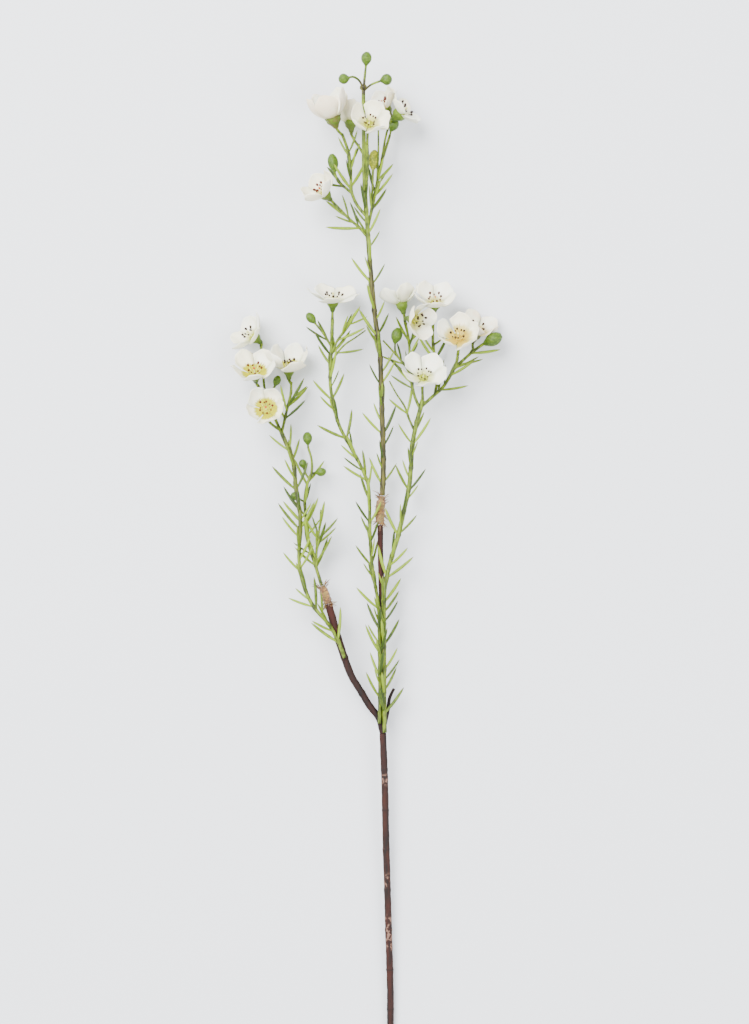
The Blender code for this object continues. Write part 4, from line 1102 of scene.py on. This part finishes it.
def build_buds(spray):
    """Egg-shaped buds with shallow ribs and a small dimpled crown."""
    skin = Skin("out", "spent")
    for k, bud in enumerate(BUDS):
        if bud.spray != spray:
            continue
        length = (Vector(bud.tip) - Vector(bud.foot)).length
        profile = [(length * height, bud.radius * radius) for height, radius in BUD_PROFILE]

        def shape(angle, share, k=k):
            ribs = 0.035 * math.cos(5 * angle + k) + 0.02 * math.cos(10 * angle + 2 * k)
            return 1 + ribs * math.sin(math.pi * share), 0.0

        skin.lathe(seat(bud.foot, Vector(bud.tip) - Vector(bud.foot), 40 * k), profile, 24, 0.45, shape,
                   out=lambda share: share, spent=1.0 if k == SPENT_BUD else 0.0)
    skin.piece(spray + "_buds", ready("waxflower_bud", finish_bud))


def build_cups(spray):
    """The ribbed green cups under a spray's blooms, each with five short lobes at its rim."""
    skin = Skin("out", "blush")
    for bloom in BLOOMS:
        if bloom.spray != spray:
            continue
        wide = bloom.calyx
        profile = ((-7.1, 0.0), (-6.8, 1.05), (-4.2, 0.56 * wide), (-1.7, 0.95 * wide), (-0.4, 1.0 * wide),
                   (0.5, 1.06 * wide), (0.1, 0.88 * wide), (-0.3, 0.5 * wide), (-0.3, 0.0))

        def shape(angle, share):
            lobe = (0.5 + 0.5 * math.cos(5 * angle + math.pi)) ** 0.7
            lip = math.exp(-((share - 0.62) / 0.07) ** 2)
            ribs = 0.045 * math.cos(10 * angle) * math.exp(-((share - 0.36) / 0.16) ** 2)
            return 1 + ribs + 0.10 * lip * lobe, 0.9 * lip * lobe

        skin.lathe(bloom_seat(bloom), profile, 40, 0.4, shape,
                   out=lambda share: share, blush=LOOKS[bloom.name].blush)
    if skin.verts:
        skin.piece(spray + "_cups", ready("waxflower_cup", finish_cup))


def petal_point(bloom, u, v, phase):
    """A petal's middle surface: u from its foot to its edge, v from side to side, and the way in."""
    first = math.radians(bloom.mouth + bloom.curl / 2)
    curl = math.radians(bloom.curl)
    s = u * (1 - 0.34 * abs(v) ** 2.2 + 0.015 * u * math.sin(6.5 * v + 3 * phase))
    now = first - curl * s
    radial = PETAL_FOOT + bloom.petal * (math.cos(now) - math.cos(first)) / curl
    rise = DISC_HEIGHT / 2 + bloom.petal * (math.sin(first) - math.sin(now)) / curl
    half = bloom.petal * 0.45 * (0.18 + 0.82 * math.sin(min(1.0, u / 0.62) * math.pi / 2))
    half = min(half, PETAL_SHARE * radial)
    inward = Vector((-math.cos(now), 0, math.sin(now)))
    lift = 0.18 * half * v * v + 0.13 * half * v * min(1.0, 2 * u)
    ripple = 0.030 * bloom.petal * u * u * math.sin(4.2 * v + phase) * (0.4 + abs(v))
    ripple += 0.018 * bloom.petal * u ** 4 * math.sin(8 * v + 2 * phase)
    return Vector((radial, v * half, rise)) + inward * (lift + ripple), inward


def add_petal(skin, bloom, to_piece, number, draw):
    """One thin closed petal, a little unlike its neighbours."""
    sizes = bpy.context.scene.waxflower_sizes
    rows, columns = PETAL_GRID
    look, tone, phase = LOOKS[bloom.name], draw.random(), draw.uniform(0, 6)
    turn = Matrix.Rotation(2 * math.pi * number / PETALS + math.radians(draw.uniform(-2, 2)), 4, "Z")
    towards = max(0.0, (to_piece.to_3x3() @ turn.to_3x3() @ Vector((1, 0, 0))).z)
    own = bloom._replace(petal=bloom.petal * draw.uniform(0.96, 1.03),
                         mouth=bloom.mouth + draw.uniform(-2.5, 2.5) + look.open * towards)
    verts, marks = [], {"out": [], "side": [], "face": []}
    for face in (0.0, 1.0):
        for i in range(rows + 1):
            for j in range(columns + 1):
                u, v = i / rows, 2 * j / columns - 1
                point, inward = petal_point(own, u, v, phase)
                edge = max(abs(v), u) ** 5
                thick = sizes.petal_thickness / MM * (1 - 0.6 * edge)
                verts.append(to_piece @ turn @ (point + inward * thick * (0.5 - face)))
                for name, value in zip(marks, (u, v, face)):
                    marks[name].append(value)
    shift, width = (rows + 1) * (columns + 1), columns + 1
    faces = []
    for i in range(rows):
        for j in range(columns):
            a, b, c, d = i * width + j, i * width + j + 1, (i + 1) * width + j + 1, (i + 1) * width + j
            faces += [(a, d, c, b), (a + shift, b + shift, c + shift, d + shift)]
    edge = list(range(width)) + [i * width + columns for i in range(1, rows + 1)]
    edge += [rows * width + j for j in range(columns - 1, -1, -1)]
    edge += [i * width for i in range(rows - 1, 0, -1)]
    faces += [(a, b, b + shift, a + shift) for a, b in zip(edge, edge[1:] + edge[:1])]
    skin.add(verts, faces, tone=tone, reach=look.reach, yellow=look.yellow, peach=look.peach,
             blush=look.blush, **marks)


def build_petals(bloom):
    skin = Skin("out", "side", "face", "tone", "reach", "yellow", "peach", "blush")
    to_piece = bloom_seat(bloom)
    draw = random.Random(bloom.name)
    for number in range(PETALS):
        add_petal(skin, bloom, to_piece, number, draw)
    skin.piece(bloom.name + "_petals_fine", ready("waxflower_petal", finish_petal),
               [bloom.name + "_petals"])


def build_throat(bloom, tree):
    """The disc in a bloom's middle, its pistil, and a ring of stamens set by Geometry Nodes."""
    sizes = bpy.context.scene.waxflower_sizes
    finish = ready("waxflower_throat", finish_throat)
    look = LOOKS[bloom.name]
    to_piece = bloom_seat(bloom)
    skin = Skin("along", "warm", "stigma", "yellow", "peach")
    shared = {"yellow": look.yellow, "peach": look.peach, "warm": look.warm}

    def lumps(angle, share):
        return 1 + 0.04 * math.cos(10 * angle), 0.12 * math.cos(10 * angle) * ease(share, 0.3, 0.5)

    skin.lathe(to_piece, DISC_PROFILE, 40, 0.35, lumps, **shared)
    skin.lathe(to_piece, PISTIL_PROFILE, 12, 0.3, along=0.25,
               stigma=lambda share: ease(share, 0.5, 0.62), **shared)
    draw = random.Random(bloom.name)
    stamens = []
    for k in range(sizes.stamens):
        angle = 2 * math.pi * (k + 0.4 + draw.uniform(-0.32, 0.32)) / sizes.stamens
        lean = math.radians(bloom.mouth * draw.uniform(0.6, 0.98))
        out = Vector((math.cos(angle), math.sin(angle), 0))
        way = out * math.sin(lean) + UP * math.cos(lean)
        start = to_piece @ (out * 2.0 + UP * 1.3)
        turn = aim_turn(to_piece.to_3x3() @ way, to_piece.to_3x3() @ -out)
        stamens.append((start, turn, STAMEN_LENGTH * (0.82 if k % 2 else 1.08) * draw.uniform(0.8, 1.05)))
    width = sizes.anther_width / 2 / (STAMEN_LENGTH * MM)
    skin.take(grow(tree, stamens, finish, width, 0.18, len(stamens)), **shared)
    skin.piece(bloom.name + "_throat", finish, [bloom.name + "_centre"])


def area_light(name, spot, aim, size, power):
    light = bpy.data.lights.new(name, "AREA")
    light.shape, light.size, light.energy = "DISK", size, power
    item = add_object(name, light)
    item.location = spot
    item.rotation_euler = (Vector(aim) - Vector(spot)).to_track_quat("-Z", "Y").to_euler()


def build_stage():
    """A pale floor, soft light from all round, and a camera over the photograph's middle."""
    scene, sizes = bpy.context.scene, bpy.context.scene.waxflower_sizes
    half = sizes.floor_width / 2
    corners = [(-half, -half), (half, -half), (half, half), (-half, half)]
    mesh = bpy.data.meshes.new("floor")
    mesh.from_pydata([(x, y, FLOOR_HEIGHT) for x, y in corners], [], [(0, 1, 2, 3)])
    mesh.materials.append(ready("studio_floor", finish_floor))
    add_object("floor", mesh)

    area_light("key_light", KEY_SPOT, (0, 0.05, 0), 2.4, sizes.key_power)
    area_light("fill_light", FILL_SPOT, (0, 0, 0), 2.0, sizes.key_power * FILL_SHARE)
    world = bpy.data.worlds.new("studio")
    world.use_nodes = True
    sky = world.node_tree.nodes["Background"]
    sky.inputs["Color"].default_value = scene.waxflower_colours.sky
    sky.inputs["Strength"].default_value = sizes.sky_strength
    scene.world = world

    middle = place((*PHOTO_MIDDLE, 20.0))
    frame_height = PHOTO_PIXELS[1] / PIXELS_PER_MM * MM
    camera = bpy.data.cameras.new("photo_camera")
    camera.lens, camera.sensor_width = LENS, SENSOR
    scene.camera = add_object("photo_camera", camera)
    scene.camera.location = middle + UP * frame_height * LENS / SENSOR


def amount_prop(name, description, default, most=1.0, unit="NONE"):
    return bpy.props.FloatProperty(name=name, description=description, default=default, min=0.0, max=most,
                                   unit=unit)


def length_prop(name, description, default):
    return amount_prop(name, description, default, 100.0, "LENGTH")


def count_prop(name, description, default, least):
    return bpy.props.IntProperty(name=name, description=description, default=default, min=least)


def colour_prop(name, code, description):
    label = name.replace("_", " ").capitalize()
    return bpy.props.FloatVectorProperty(name=label, description=description, default=paint(code), size=4,
                                         subtype="COLOR", min=0.0, max=1.0)


class WaxflowerSizes(bpy.types.PropertyGroup):
    """Sizes, counts and light that a user would change."""

    needle_width: length_prop("Needle width", "Width of a needle at its thickest", 2.0 * MM)
    small_needle: amount_prop("Small needles", "Length of the small needles, as a share of the others", 0.8)
    needle_bend: amount_prop("Needle bend", "How far a needle bends, as a share of its length", 0.105)
    petal_thickness: length_prop("Petal thickness", "Thickness of a petal at its foot", 0.45 * MM)
    anther_width: length_prop("Anther width", "Width of the knob at a stamen's end", 1.6 * MM)
    stamens: count_prop("Stamens", "Stamens in a bloom", 10, 1)
    tape_turn: length_prop("Tape turn", "Distance between the turns of the tape", 2.6 * MM)
    tape_fibres: count_prop("Tape fibres", "Loose fibres on a joint", 70, 0)
    floor_width: length_prop("Floor width", "Width of the floor", 12.0)
    key_power: amount_prop("Key power", "Power of the main light", 330.0, 5000.0, "POWER")
    sky_strength: amount_prop("Sky strength", "Light from all round", 1.35, 10.0)


class WaxflowerColours(bpy.types.PropertyGroup):
    """The colours of the finishes."""

    __annotations__ = {name: colour_prop(name, *rest) for name, rest in COLOURS.items()}


class WAXFLOWER_OT_stem(bpy.types.Operator):
    """Builds the woody stem, its left branch and its stub"""

    bl_idname = "waxflower.stem"
    bl_label = "Woody stem"

    def execute(self, context):
        build_stem()
        return {"FINISHED"}


class WAXFLOWER_OT_tape(bpy.types.Operator):
    """Winds frayed tape round both joints"""

    bl_idname = "waxflower.tape"
    bl_label = "Tape"

    def execute(self, context):
        for name in COLLARS:
            build_tape(name)
        return {"FINISHED"}


class WAXFLOWER_OT_twigs(bpy.types.Operator):
    """Builds the green stems and stalks of every spray"""

    bl_idname = "waxflower.twigs"
    bl_label = "Twigs"

    def execute(self, context):
        for spray in SPRAYS:
            build_twigs(spray)
        return {"FINISHED"}


class WAXFLOWER_OT_needles(bpy.types.Operator):
    """Grows the needles of every spray"""

    bl_idname = "waxflower.needles"
    bl_label = "Needles"

    def execute(self, context):
        build_needles()
        return {"FINISHED"}


class WAXFLOWER_OT_buds(bpy.types.Operator):
    """Builds the buds, and the cups under the blooms"""

    bl_idname = "waxflower.buds"
    bl_label = "Buds and cups"

    def execute(self, context):
        for spray in SPRAYS:
            build_buds(spray)
            build_cups(spray)
        return {"FINISHED"}


class WAXFLOWER_OT_petals(bpy.types.Operator):
    """Builds the petals of every bloom"""

    bl_idname = "waxflower.petals"
    bl_label = "Petals"

    def execute(self, context):
        for bloom in BLOOMS:
            build_petals(bloom)
        return {"FINISHED"}


class WAXFLOWER_OT_throats(bpy.types.Operator):
    """Builds the disc, pistil and stamens of every bloom"""

    bl_idname = "waxflower.throats"
    bl_label = "Throats"

    def execute(self, context):
        tree = slender_tree("stamen", STAMEN_PROFILE, 16, 6)
        for bloom in BLOOMS:
            build_throat(bloom, tree)
        return {"FINISHED"}


class WAXFLOWER_OT_stage(bpy.types.Operator):
    """Sets the floor, the light and the camera"""

    bl_idname = "waxflower.stage"
    bl_label = "Stage"

    def execute(self, context):
        build_stage()
        return {"FINISHED"}


STEPS = (WAXFLOWER_OT_stem, WAXFLOWER_OT_tape, WAXFLOWER_OT_twigs, WAXFLOWER_OT_needles,
         WAXFLOWER_OT_buds, WAXFLOWER_OT_petals, WAXFLOWER_OT_throats, WAXFLOWER_OT_stage)


class WAXFLOWER_PT_steps(bpy.types.Panel):
    """The steps that dress the stem, and the sizes and colours that they read"""

    bl_idname = "WAXFLOWER_PT_steps"
    bl_label = "Waxflower Stem"
    bl_space_type = "VIEW_3D"
    bl_region_type = "UI"
    bl_category = "Waxflower"

    def draw(self, context):
        for step in STEPS:
            self.layout.operator(step.bl_idname)
        for group in (context.scene.waxflower_sizes, context.scene.waxflower_colours):
            for name in group.__annotations__:
                self.layout.prop(group, name)


CLASSES = (WaxflowerSizes, WaxflowerColours, *STEPS, WAXFLOWER_PT_steps)


def register():
    for kind in CLASSES:
        bpy.utils.register_class(kind)
    bpy.types.Scene.waxflower_sizes = bpy.props.PointerProperty(type=WaxflowerSizes)
    bpy.types.Scene.waxflower_colours = bpy.props.PointerProperty(type=WaxflowerColours)


def unregister():
    del bpy.types.Scene.waxflower_colours
    del bpy.types.Scene.waxflower_sizes
    for kind in reversed(CLASSES):
        bpy.utils.unregister_class(kind)


def main():
    register()
    bpy.ops.waxflower.stem()
    bpy.ops.waxflower.tape()
    bpy.ops.waxflower.twigs()
    bpy.ops.waxflower.needles()
    bpy.ops.waxflower.buds()
    bpy.ops.waxflower.petals()
    bpy.ops.waxflower.throats()
    bpy.ops.waxflower.stage()


if __name__ == "__main__":
    main()
